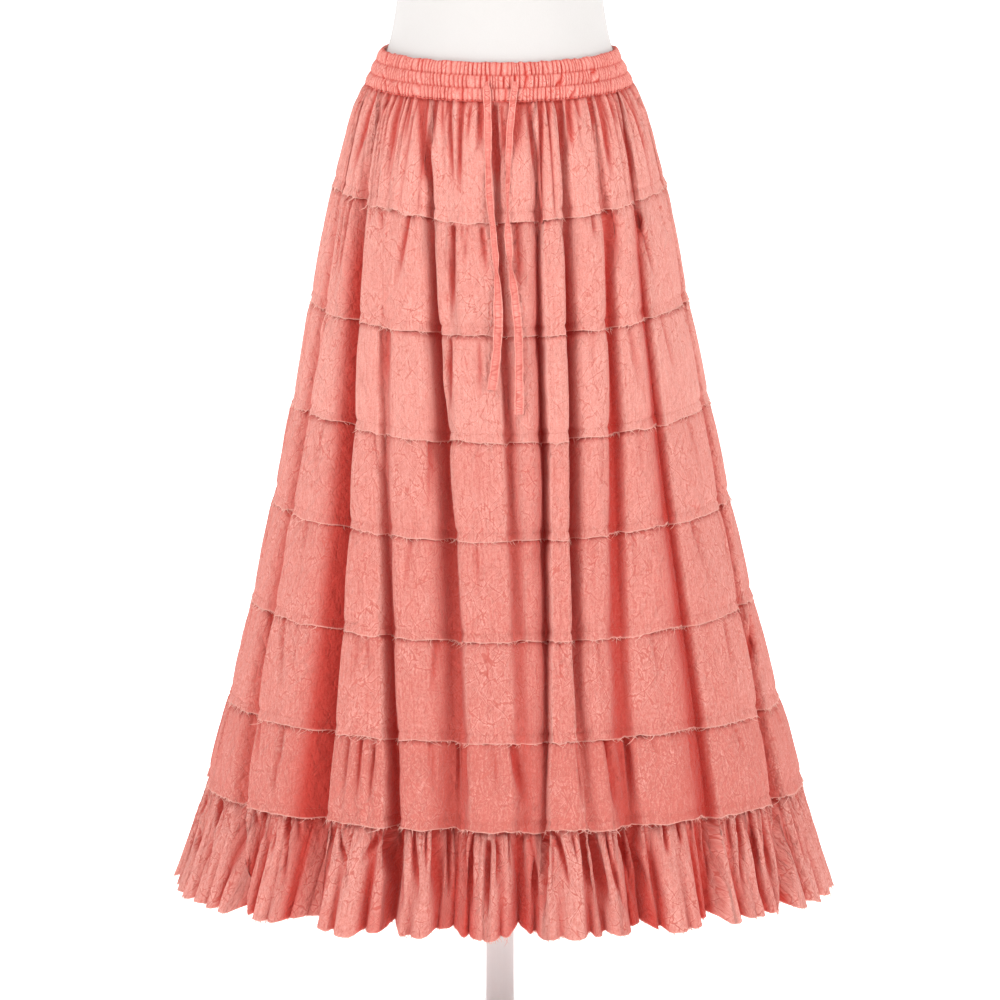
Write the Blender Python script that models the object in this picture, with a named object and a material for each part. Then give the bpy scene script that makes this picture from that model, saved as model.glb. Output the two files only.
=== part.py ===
"""A tiered ruffle skirt on a limbless dress form that stands on a round foot.

Metres, +Z up. The origin is on the floor under the pole, the skirt's front faces -Y and +X is on its
right as seen from the front. The skirt is one gathered surface cut into tiers: going round it, soft pipes
of cloth stand between troughs that run down from the waist, and each tier is one stretch of that surface.
"""

import math

import bpy
import numpy as np

WALL = 0.0012  # thickness of the cloth
SEAM_GAP = 0.0004  # air between the waistband and the cloth sewn to it
TUCK_GAP = 0.0005  # air between a tier and the gathered top of the next, where the folds lie flat
PART_GAP = 0.0003  # air between pieces of the form that stand on each other
LAP = 0.009  # free raw edge of each tier, hanging over the tier below
FINE_TUCK = 2.6  # times deeper a strip is tucked where its gathers and its neighbour's don't match
TUCK = 0.003  # how far a tier's gathered top goes up behind the tier above
FLARE = 0.0012  # how far the free edge stands off
EDGE_WAVE = 0.0015  # rise and fall of the free edges
MM = 0.001

# The skirt's outline: height of each line at the side, where the front line droops below it, and the
# half width and half depth of its oval. The right shift leans the oval towards +X.
RING_COLUMNS = ("height", "half_width", "half_depth", "front_droop", "right_shift")
RINGS = {
    "band_top": (1.085, 0.123, 0.098, 0.002, -0.001),
    "band_bottom": (1.048, 0.1405, 0.1115, 0.003, -0.001),
    "high_hip": (1.022, 0.151, 0.119, 0.0072, -0.001),
    "seam_1": (0.942, 0.174, 0.139, 0.019, -0.001),
    "seam_2": (0.821, 0.1975, 0.158, 0.014, -0.001),
    "seam_3": (0.7135, 0.2185, 0.175, 0.014, 0.0005),
    "seam_4": (0.6095, 0.2395, 0.1915, 0.010, 0.001),
    "seam_5": (0.5045, 0.2635, 0.211, 0.007, 0.002),
    "seam_6": (0.396, 0.2905, 0.2295, 0.0, 0.0035),
    "seam_7": (0.306, 0.316, 0.250, 0.0, 0.0045),
    "hem": (0.196, 0.351, 0.277, 0.0, 0.0035),
}
RING = {column: np.array([row[i] for row in RINGS.values()]) for i, column in enumerate(RING_COLUMNS)}

# The troughs between the pipes of cloth: where each lies, in degrees round from the front towards +X, and
# how deep it is, in millimetres, at four heights.
FOLD_HEIGHTS = [RINGS[name][0] for name in ("band_bottom", "seam_2", "seam_5", "hem")]
FOLD_COLUMNS = ("at_waist", "at_seam_2", "at_seam_5", "at_hem", "waist", "seam_2", "seam_5", "hem")
FOLDS = (
    (-166, -166, -165, -164, 1.0, 8, 12, 17),
    (-151, -150, -149, -148, 1.0, 11, 15, 19),
    (-136, -135, -133, -131, 1.0, 7, 11, 15),
    (-120, -119, -117, -115, 1.0, 12, 15, 19),
    (-105, -104, -104, -103, 1.0, 7, 10, 15),
    (-91, -91, -91, -88, 0.6, 5, 8, 13),
    (-76, -69, -67, -53, 0.6, 6, 7, 12),
    (-60, -49.2, -40.6, -36.5, 1.4, 12, 15, 19),
    (-42, -37.7, -28, -20.6, 0.4, 2, 10, 17),
    (-29.5, -19.9, -11.2, -9.8, 1.4, 14, 15, 17),
    (-1.9, 1.5, 3.7, 2.8, 1.0, 7, 7, 8),
    (14.8, 14.2, 11.3, 5.8, 1.4, 14, 14, 7),
    (25.7, 22.9, 17.3, 18.5, 1.4, 12, 13, 12),
    (41.5, 37.8, 28.2, 26, 0.8, 9, 10, 13),
    (60.5, 53.6, 48.2, 42, 1.4, 9, 12, 18),
    (86, 82, 75, 60, 0.6, 5, 9, 13),
    (100, 99, 98, 92, 0.6, 6, 9, 14),
    (114, 113, 112, 110, 1.0, 11, 14, 18),
    (130, 130, 128, 127, 1.0, 7, 12, 16),
    (146, 146, 146, 144, 1.0, 12, 15, 19),
    (162, 162, 162, 162, 1.0, 8, 11, 15),
    (179, 178, 178, 178, 1.0, 10, 14, 18),
)
FOLD = {column: np.array([row[i] for row in FOLDS], float) for i, column in enumerate(FOLD_COLUMNS)}

# The ruffle's own waves at the hem: where the trough between two of them lies, in degrees round from the
# front, and how deep it is, in millimetres.
WAVES = (
    (-175, 8), (-168, 10), (-162, 15), (-156, 8), (-149, 14), (-143, 8), (-137, 10), (-131, 14),
    (-125, 8), (-118, 10), (-112, 14), (-106, 8), (-99, 12), (-91, 9), (-82.4, 9), (-76, 8),
    (-69.6, 12), (-64.5, 5), (-60.6, 10), (-53.7, 15), (-50.2, 14), (-45.5, 5), (-41.7, 12), (-38.5, 4),
    (-35.3, 10), (-31.2, 9), (-24.4, 8), (-20.4, 14), (-16.5, 6), (-12.1, 10), (-9.2, 12), (-6.2, 16),
    (-3.4, 4), (-0.5, 9), (2.7, 15), (5.6, 7), (10, 6), (15.4, 10), (18, 9), (21, 4),
    (23.6, 14), (26.4, 18), (29, 14), (34, 6), (38, 15), (41, 15), (46.8, 10), (49.8, 4),
    (53.5, 14), (57, 5), (61.2, 12), (67.5, 12), (74.5, 10), (82, 8), (91, 9), (99, 13),
    (106, 8), (113, 14), (121, 9), (127, 14), (134, 8), (140, 9), (146, 16), (153, 8),
    (159, 7), (165, 15), (172, 9), (178.5, 13),
)
WAVE_PLACE, WAVE_DEPTH = np.array(WAVES, float).T
PIPES_AT_HEM = 0.7  # share of the big troughs' depth that is left at the hem, among the waves

# Fine gathers of the top tier, under the waistband: how far apart, in degrees, and how deep.
GATHER_PITCH, GATHER_DEPTH = 5.3, 0.0026
PIPE_ROUND, GATHER_ROUND = 0.45, 0.1  # how far round the ridges and narrow the troughs are, as a share
FULL_WAVE = 6.0  # degrees: between troughs nearer than this the cloth stays in a recess
# Cloth that dips in hangs steeper, so it ends lower, and only the ruffle's hem rides up. Each height, and how
# far up the cloth goes as a share of its dip.
TROUGH_RISE = ((0.196, 0.35), (0.306, -0.10), (0.396, -0.17), (0.98, -0.17), (1.048, 0.0))
STEP_WIDTH = 2.65  # degrees of cloth that one column of a tier covers, or less
WIDE_WAVE = 6.5  # degrees: a wave wider than this gets 6 columns instead of 4
GATHERS_NONE = np.ones(len(FOLDS), int)

# The waistband: three puffed rows round elastic, with gathers standing in ribs over a plain inside.
BAND_THICK = 0.0044
BAND_RIBS, RIB_DEPTH = 60, 0.0009
BAND_PROFILE = (  # share of the height, and how far in from the outline, in millimetres
    (0.0, 1.6),
    (1 / 6, 0.0),
    (1 / 3, 1.8),
    (1 / 2, 0.0),
    (2 / 3, 1.8),
    (5 / 6, 0.0),
    (1.0, 1.5),
)

# The tie: a flat tape, and each end's route down the front: how far right of the middle, the height on the
# outline table, and how far off the oval outline, in millimetres.
TIE_WIDTH, TIE_THICK = 0.0105, 0.0012
TIE_ROUTES = {
    "tie_left": (
        (-13.4, 1067, 1.2),
        (-12.8, 1050, 1.3),
        (-12.3, 1023, 1.4),
        (-11.8, 993, 1.6),
        (-10.3, 962, 2.0),
        (-7.2, 935, 3.0),
        (-4.1, 904, 2.0),
        (-2.1, 866, 1.8),
        (-2.1, 829, 2.8),
        (-4.1, 799, 2.4),
        (-8.2, 768, 2.0),
    ),
    "tie_right": (
        (15.4, 1067, 1.2),
        (13.4, 1050, 1.3),
        (10.3, 1023, 1.4),
        (8.2, 993, 1.6),
        (7.2, 962, 2.0),
        (8.2, 930, 3.0),
        (11.3, 895, 2.0),
        (15.4, 861, 1.8),
        (18.5, 824, 2.8),
        (19.5, 784, 2.4),
        (19.5, 743, 2.0),
    ),
}
TIE_STEPS = 3  # pieces of solid tape between one point of a route and the next

# The dress form: its ovals from the bottom up, as height, half width, half depth and forward shift.
TORSO_RINGS = (
    (0.745, 0.104, 0.082, 0.0),
    (0.750, 0.124, 0.096, 0.0),
    (0.770, 0.142, 0.105, 0.0),
    (0.810, 0.150, 0.110, 0.0),
    (0.870, 0.154, 0.112, 0.0),
    (0.940, 0.150, 0.111, 0.0),
    (1.000, 0.1425, 0.106, 0.0),
    (1.045, 0.1335, 0.1035, 0.0),
    (1.085, 0.1165, 0.092, 0.0),
    (1.135, 0.1070, 0.084, 0.0),
    (1.175, 0.1040, 0.081, 0.0),
    (1.220, 0.1090, 0.086, 0.004),
    (1.280, 0.1260, 0.101, 0.012),
    (1.335, 0.1390, 0.112, 0.016),
    (1.390, 0.1470, 0.108, 0.010),
    (1.435, 0.1560, 0.094, 0.0),
    (1.465, 0.1560, 0.080, -0.006),
    (1.485, 0.1320, 0.070, -0.010),
    (1.500, 0.0900, 0.062, -0.010),
    (1.515, 0.0620, 0.057, -0.008),
    (1.560, 0.0540, 0.054, -0.002),
)
TORSO_SIDES, ROUND_SIDES = 36, 28
CAP_PROFILE = ((0.0540, 0.0), (0.0550, 0.003), (0.0530, 0.009), (0.0300, 0.019), (0.0100, 0.022))
POLE_RADIUS = 0.0148
FOOT_PROFILE = (
    (0.160, 0.0),
    (0.165, 0.003),
    (0.165, 0.006),
    (0.161, 0.010),
    (0.040, 0.014),
    (0.026, 0.018),
    (0.022, 0.030),
)

CLOTH_COLOUR = (0.85, 0.27, 0.20, 1)
TIE_COLOUR = (0.88, 0.33, 0.26, 1)
FORM_COLOUR = (0.86, 0.84, 0.82, 1)
CAP_COLOUR = (0.70, 0.69, 0.67, 1)
STAND_COLOUR = (0.78, 0.77, 0.76, 1)


def clear_scene():
    for obj in list(bpy.data.objects):
        bpy.data.objects.remove(obj, do_unlink=True)


def material(name, colour, roughness, metallic=0.0):
    made = bpy.data.materials.new(name)
    made.use_nodes = True
    shader = made.node_tree.nodes["Principled BSDF"]
    shader.inputs["Base Color"].default_value = colour
    shader.inputs["Roughness"].default_value = roughness
    shader.inputs["Metallic"].default_value = metallic
    made.diffuse_color = colour
    return made


def solid(name, points, faces, finish):
    """One closed body from its points and faces."""
    mesh = bpy.data.meshes.new(name)
    mesh.from_pydata(points.tolist(), [], faces)
    mesh.materials.append(finish)
    mesh.shade_smooth()
    mesh.set_sharp_from_angle(angle=math.radians(50))
    obj = bpy.data.objects.new(name, mesh)
    bpy.context.scene.collection.objects.link(obj)
    return obj


def sheet_faces(index):
    """Two triangles for each step of a grid of point numbers, facing out where rows go up and columns
    go round towards +X. The columns close on themselves."""
    low, high = index[:-1], index[1:]
    low_next, high_next = np.roll(low, -1, axis=1), np.roll(high, -1, axis=1)
    one = np.stack([low, low_next, high_next], axis=-1).reshape(-1, 3)
    two = np.stack([low, high_next, high], axis=-1).reshape(-1, 3)
    return np.concatenate([one, two])


def wall_solid(name, outer, inner, finish):
    """A ring of wall between an outer and an inner grid of points. Both have the same columns, their
    rows go up, and a rim joins them at the bottom and at the top."""
    count = outer.shape[0] * outer.shape[1]
    outside = np.arange(count).reshape(outer.shape[:2])
    inside = count + np.arange(inner.shape[0] * inner.shape[1]).reshape(inner.shape[:2])
    bottom = np.stack([inside[0], outside[0]])
    top = np.stack([outside[-1], inside[-1]])
    faces = [sheet_faces(outside), sheet_faces(inside)[:, ::-1], sheet_faces(bottom), sheet_faces(top)]
    points = np.concatenate([outer.reshape(-1, 3), inner.reshape(-1, 3)])
    return solid(name, points, np.concatenate(faces).tolist(), finish)


def ring_at(column, level):
    """A column of the outline table at this height, straight from one row to the next."""
    return np.interp(level, RING["height"][::-1], RING[column][::-1])


def fold_curves(columns, unit):
    """For each trough, the cubic through its four table values, as coefficients from the lowest power."""
    values = np.array([FOLD[column] for column in columns]) * unit
    return np.polynomial.polynomial.polyfit(FOLD_HEIGHTS, values, 3)


FOLD_PLACE = fold_curves(FOLD_COLUMNS[:4], 1.0)
FOLD_DEPTH = fold_curves(FOLD_COLUMNS[4:], MM)


def fold_at(curves, fold, level):
    return sum(curves[power][fold] * level**power for power in range(4))


def widths(places):
    """How far it is from each place round the skirt to the next, in degrees."""
    return np.diff(places, append=places[0] + 360)


def rolled(across, share, count=1):
    """Points across a pipe, moved as on a rolling circle, so that the ridges are round and the troughs
    narrow; count such waves fill the pipe."""
    return across - share * np.sin(2 * np.pi * across * count) / (2 * np.pi * count)


def dipped(across, count=1):
    """How far a point across a pipe lies in its trough, from 0 on the ridge to 1."""
    return (1 + np.cos(2 * np.pi * across * count)) / 2


def eased(before, after, across):
    """From one trough's value to the next one's, level at both."""
    return before + (after - before) * (1 - np.cos(np.pi * across)) / 2


def parts_of(column, count):
    """The pipe before, the pipe after and the share of the way across, for each column."""
    whole = np.floor(column).astype(int)
    return whole % count, (whole + 1) % count, column - whole


def pipes(column, level, gathers=GATHERS_NONE, gather_depth=0.0):
    """Angle and dip of the cloth, where the whole part of column says which pipe and the rest how far
    across it. The gathers are smaller waves, a whole number of them to a pipe."""
    left, right, across = parts_of(column, len(FOLDS))
    start = fold_at(FOLD_PLACE, left, level)
    width = (fold_at(FOLD_PLACE, right, level) - start) % 360
    depth = eased(fold_at(FOLD_DEPTH, left, level), fold_at(FOLD_DEPTH, right, level), across)
    count = gathers[left]
    place = rolled(across, PIPE_ROUND) + rolled(across, GATHER_ROUND, count) - across
    dip = np.maximum(depth, 0) * dipped(across) + gather_depth * dipped(across, count)
    return np.radians(start + width * place), dip


def oval(angle, level, lift):
    """Points on the skirt's oval outline at this height, moved out from it by lift."""
    wide, deep = ring_at("half_width", level) + lift, ring_at("half_depth", level) + lift
    x = ring_at("right_shift", level) + wide * np.sin(angle)
    y = -deep * np.cos(angle)
    z = level - ring_at("front_droop", level) * np.cos(angle) ** 2
    return np.stack([x, y, z], axis=-1)


def hung(angle, level, dip):
    """Points of cloth that dips in from the oval outline, moved up by the table's share of the dip."""
    points = oval(angle, level, -dip)
    points[..., 2] += np.interp(level, *np.array(TROUGH_RISE).T) * dip
    return points


def tier_cloth(column, level, gathers, gather_depth):
    angle, dip = pipes(column, level, gathers, gather_depth)
    return hung(angle, level, dip)


def ruffle_cloth(column, level):
    """Points of the ruffle, where the whole part of column says which wave. At the top it follows the
    pipes of the tier above, and its own waves grow towards the hem."""
    top, hem = RINGS["seam_7"][0], RINGS["hem"][0]
    down = np.clip((top - level) / (top - hem), 0, 1)
    left, right, across = parts_of(column, len(WAVES))
    angle = WAVE_PLACE[left] + widths(WAVE_PLACE)[left] * rolled(across, PIPE_ROUND * down)
    around = np.arange(0, len(FOLDS), 0.05)
    dip = np.empty(np.broadcast(angle, level).shape)
    for row in range(len(dip)):
        pipe_angle, pipe_dip = pipes(around, level[row].mean())
        dip[row] = np.interp(angle[row], np.degrees(pipe_angle), pipe_dip, period=360)
    dip *= 1 + (PIPES_AT_HEM - 1) * down
    ridge = np.minimum(widths(WAVE_PLACE)[left] / FULL_WAVE, 1) * (1 - dipped(across))
    dip += eased(WAVE_DEPTH[left], WAVE_DEPTH[right], across) * MM * (1 - ridge) * down
    return hung(np.radians(angle), level, dip)


def wall_of(name, surface, column, rows, finish):
    """A ring of cloth. surface gives its points from column, height and gather depth, and each row of
    rows is its height, gather depth, lift off the surface and edge wave. The wall's two sides are
    moved square to the cloth as seen from above."""
    level, gather_depth, lift, wave = (np.array(values)[:, None] for values in zip(*rows))
    turn = 2 * np.pi * np.arange(len(column)) / len(column)
    level = level + wave * np.sin(31 * turn + 40 * level) * np.cos(12 * turn)
    column = column + 0 * level
    step = 0.02
    run = surface(column + step, level, gather_depth) - surface(column - step, level, gather_depth)
    out = np.stack([run[..., 1], -run[..., 0], 0 * run[..., 2]], axis=-1)
    out /= np.linalg.norm(out, axis=-1, keepdims=True)
    middle = surface(column, level, gather_depth) + out * lift[..., None]
    return wall_solid(name, middle + out * WALL / 2, middle - out * WALL / 2, finish)


def columns_of(steps):
    """Columns round the skirt, with so many steps in each pipe."""
    return np.concatenate([i + np.arange(n) / n for i, n in enumerate(steps)])


def tiers(finish):
    """The seven gathered tiers, from the waist down. The top one has the waistband's gathers in it."""
    under = -(WALL + TUCK_GAP)
    waist_gathers = np.maximum(2, np.round(widths(FOLD["at_waist"]) / GATHER_PITCH)).astype(int)
    steps = 2 * np.maximum(2, np.round(widths(FOLD["at_hem"]) / STEP_WIDTH / 2)).astype(int)

    def gathered(column, level, depth):
        return tier_cloth(column, level, waist_gathers, depth)

    def plain(column, level, depth):
        return tier_cloth(column, level, GATHERS_NONE, depth)

    top = RINGS["band_bottom"][0] - SEAM_GAP
    lap = RINGS["seam_1"][0]
    rows = ((lap, 0.0, FLARE, EDGE_WAVE), (top, GATHER_DEPTH, under / 2, 0.0))
    wall_of("tier_1", gathered, columns_of(4 * waist_gathers), rows, finish)
    for number in range(2, 8):
        top = RINGS[f"seam_{number - 1}"][0] + LAP + TUCK
        lap = RINGS[f"seam_{number}"][0]
        sink = under * FINE_TUCK if number == 2 else under
        rows = ((lap, 0.0, FLARE, EDGE_WAVE), (top, 0.0, sink, 0.0))
        wall_of(f"tier_{number}", plain, columns_of(steps), rows, finish)


def ruffle(finish):
    under = -(WALL + TUCK_GAP)
    top, hem = RINGS["seam_7"][0] + LAP + TUCK, RINGS["hem"][0]
    middle = RINGS["seam_7"][0] - TUCK
    steps = np.where(widths(WAVE_PLACE) > WIDE_WAVE, 6, 4)
    rows = ((hem, 0.0, 0.0, EDGE_WAVE), (middle, 0.0, under * FINE_TUCK, 0.0), (top, 0.0, under * FINE_TUCK, 0.0))
    wall_of("ruffle", lambda column, level, _: ruffle_cloth(column, level), columns_of(steps), rows, finish)


def waistband(finish):
    """A ring whose outer wall puffs out in three rows, with a rib for each gather, over a plain inside."""
    angle = np.linspace(0, 2 * np.pi, 2 * BAND_RIBS, endpoint=False)
    share, dip = (np.array(values)[:, None] for values in zip(*BAND_PROFILE))
    bottom, top = RINGS["band_bottom"][0], RINGS["band_top"][0]
    level = bottom + share * (top - bottom)
    rib = RIB_DEPTH * (np.arange(2 * BAND_RIBS) % 2)
    outer = oval(angle[None, :], level + 0 * angle, -dip * MM - rib)
    inner = oval(angle[None, :], np.array([[bottom], [top]]) + 0 * angle, -BAND_THICK)
    return wall_solid("waistband", outer, inner, finish)


def smooth_route(points, steps):
    """More points on a smooth curve through a route: on each stretch, the Catmull-Rom cubic."""
    points = np.array(points, float)
    before = np.vstack([2 * points[0] - points[1], points[:-1]])
    after = np.vstack([points[1:], 2 * points[-1] - points[-2]])
    slope = (after - before) / 2
    share = (np.arange(steps) / steps)[None, :, None]
    start, end = points[:-1, None], points[1:, None]
    leave, arrive = slope[:-1, None], slope[1:, None]
    cubic = 2 * start - 2 * end + leave + arrive
    square = 3 * end - 3 * start - 2 * leave - arrive
    curve = ((cubic * share + square) * share + leave) * share + start
    return np.vstack([curve.reshape(-1, 3), points[-1]])


def tie(name, finish):
    """A flat tape along its route, its width across the front and its ends cut square."""
    right, level, off = np.array(TIE_ROUTES[name]).T * MM
    angle = np.arcsin((right - ring_at("right_shift", level)) / ring_at("half_width", level))
    route = smooth_route(oval(angle, level, off), TIE_STEPS)
    along = np.gradient(route, axis=0)
    along /= np.linalg.norm(along, axis=1, keepdims=True)
    out = np.cross(along, [1.0, 0.0, 0.0])
    out /= np.linalg.norm(out, axis=1, keepdims=True)
    out *= np.sign(-out[:, 1:2])
    side = np.cross(along, out)
    corners = ((1, 1), (-1, 1), (-1, -1), (1, -1))
    section = [route + side * TIE_WIDTH / 2 * a + out * TIE_THICK / 2 * b for a, b in corners]
    points = np.stack(section)
    index = np.arange(points.shape[0] * points.shape[1]).reshape(points.shape[:2])
    around = np.roll(index, -1, axis=0)
    walls = np.stack([index[:, :-1], index[:, 1:], around[:, 1:], around[:, :-1]], axis=-1)
    faces = walls.reshape(-1, 4).tolist() + [index[:, 0].tolist(), index[::-1, -1].tolist()]
    return solid(name, points.reshape(-1, 3), faces, finish)


def stacked_rings(name, rings, sides, finish):
    """A closed body through ovals from the bottom up, each given as height, half width, half depth and
    forward shift, with a flat bottom and a flat top."""
    height, wide, deep, forward = (np.array(values)[:, None] for values in zip(*rings))
    angle = np.linspace(0, 2 * np.pi, sides, endpoint=False)
    x, y = wide * np.sin(angle), -deep * np.cos(angle) - forward
    points = np.stack([x, y, height + 0 * angle], axis=-1)
    index = np.arange(len(rings) * sides).reshape(len(rings), sides)
    faces = sheet_faces(index).tolist() + [index[0, ::-1].tolist(), index[-1].tolist()]
    return solid(name, points.reshape(-1, 3), faces, finish)


def turned(name, profile, base, finish):
    """A round body from its profile, as radius and height above base, from the bottom up."""
    rings = [(base + height, radius, radius, 0.0) for radius, height in profile]
    return stacked_rings(name, rings, ROUND_SIDES, finish)


def dress_form():
    """The torso, the cap on its neck, the pole and the round foot, each standing on the one below."""
    torso_bottom, torso_top = TORSO_RINGS[0][0], TORSO_RINGS[-1][0]
    foot_top = FOOT_PROFILE[-1][1]
    stacked_rings("form_torso", TORSO_RINGS, TORSO_SIDES, material("form jersey", FORM_COLOUR, 0.9))
    cap = turned("form_neck_cap", CAP_PROFILE, torso_top + PART_GAP, material("cap", CAP_COLOUR, 0.5))
    cap.location.y = -TORSO_RINGS[-1][3]
    stand = material("stand paint", STAND_COLOUR, 0.45)
    pole_length = torso_bottom - foot_top - 2 * PART_GAP
    pole_profile = ((POLE_RADIUS, 0.0), (POLE_RADIUS, pole_length))
    turned("form_pole", pole_profile, foot_top + PART_GAP, stand)
    turned("form_base", FOOT_PROFILE, 0.0, stand)


def main():
    clear_scene()
    cloth_finish = material("cotton voile", CLOTH_COLOUR, 0.85)
    tie_finish = material("tie tape", TIE_COLOUR, 0.8)
    waistband(cloth_finish)
    tiers(cloth_finish)
    ruffle(cloth_finish)
    for name in TIE_ROUTES:
        tie(name, tie_finish)
    dress_form()


main()
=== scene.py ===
"""The looks of a tiered ruffle skirt on a limbless dress form: thin cloth shells on the part's solids.

Metres, +Z up. The skirt's front faces -Y, and +X is on its right as seen from the front. Going round it,
soft pipes of cloth stand between troughs that run down from the waist. A column number says where a point
lies round it: its whole part says which pipe, and the rest how far across. A level says how high the point
is at the skirt's side.
"""

import math

import bpy
import numpy as np
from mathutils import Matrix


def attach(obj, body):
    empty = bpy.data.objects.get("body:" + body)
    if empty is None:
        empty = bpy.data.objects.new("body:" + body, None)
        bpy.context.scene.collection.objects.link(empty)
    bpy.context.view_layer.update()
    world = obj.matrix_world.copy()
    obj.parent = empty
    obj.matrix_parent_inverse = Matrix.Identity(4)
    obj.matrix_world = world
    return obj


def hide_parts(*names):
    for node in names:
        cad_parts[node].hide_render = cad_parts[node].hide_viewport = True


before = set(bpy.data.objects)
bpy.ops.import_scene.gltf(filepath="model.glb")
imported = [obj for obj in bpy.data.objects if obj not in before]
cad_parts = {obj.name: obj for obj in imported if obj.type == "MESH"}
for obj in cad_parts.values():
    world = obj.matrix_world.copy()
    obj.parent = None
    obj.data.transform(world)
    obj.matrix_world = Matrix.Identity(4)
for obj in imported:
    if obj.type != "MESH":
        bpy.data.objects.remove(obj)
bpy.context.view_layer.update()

MM = 0.001
TURN = 2 * math.pi

# ---------------------------------------------------------------- camera

AIM = (0.0, 0.0, 0.606)
CAMERA_DISTANCE = 9.0
CAMERA_DOWN = math.radians(11)
VIEW_WIDTH = 1.05  # metres across the view at the aim
SENSOR = 36.0  # millimetres


def studio_camera():
    data = bpy.data.cameras.new("studio camera")
    data.sensor_width = SENSOR
    data.lens = SENSOR * CAMERA_DISTANCE / VIEW_WIDTH
    camera = bpy.data.objects.new("studio camera", data)
    back, up = CAMERA_DISTANCE * math.cos(CAMERA_DOWN), CAMERA_DISTANCE * math.sin(CAMERA_DOWN)
    camera.location = (AIM[0], AIM[1] - back, AIM[2] + up)
    camera.rotation_euler = (math.pi / 2 - CAMERA_DOWN, 0, 0)
    bpy.context.scene.collection.objects.link(camera)
    bpy.context.scene.camera = camera


studio_camera()

# ---------------------------------------------------------------- the skirt's own sizes

LAP = 0.009  # how far each tier's free raw edge hangs below its stitching
TUCK = 0.003  # how far the next tier's gathered top goes up past that stitching, out of sight

# Height of each line at the side, the half width and half depth of its oval, how far the line droops in
# front, and how far the oval leans towards +X. Each seam's line is the raw edge that hangs over it.
RING_COLUMNS = ("height", "half_width", "half_depth", "front_droop", "right_shift")
RINGS = {
    "band_top": (1.085, 0.123, 0.098, 0.002, -0.001),
    "band_bottom": (1.048, 0.1405, 0.1115, 0.003, -0.001),
    "high_hip": (1.022, 0.151, 0.119, 0.0072, -0.001),
    "seam_1": (0.942, 0.174, 0.139, 0.019, -0.001),
    "seam_2": (0.821, 0.1975, 0.158, 0.014, -0.001),
    "seam_3": (0.7135, 0.2185, 0.175, 0.014, 0.0005),
    "seam_4": (0.6095, 0.2395, 0.1915, 0.010, 0.001),
    "seam_5": (0.5045, 0.2635, 0.211, 0.007, 0.002),
    "seam_6": (0.396, 0.2905, 0.2295, 0.0, 0.0035),
    "seam_7": (0.306, 0.316, 0.250, 0.0, 0.0045),
    "hem": (0.196, 0.351, 0.277, 0.0, 0.0035),
}
RING = {column: np.array([row[i] for row in RINGS.values()]) for i, column in enumerate(RING_COLUMNS)}
LEVEL = {name: row[0] for name, row in RINGS.items()}

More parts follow.
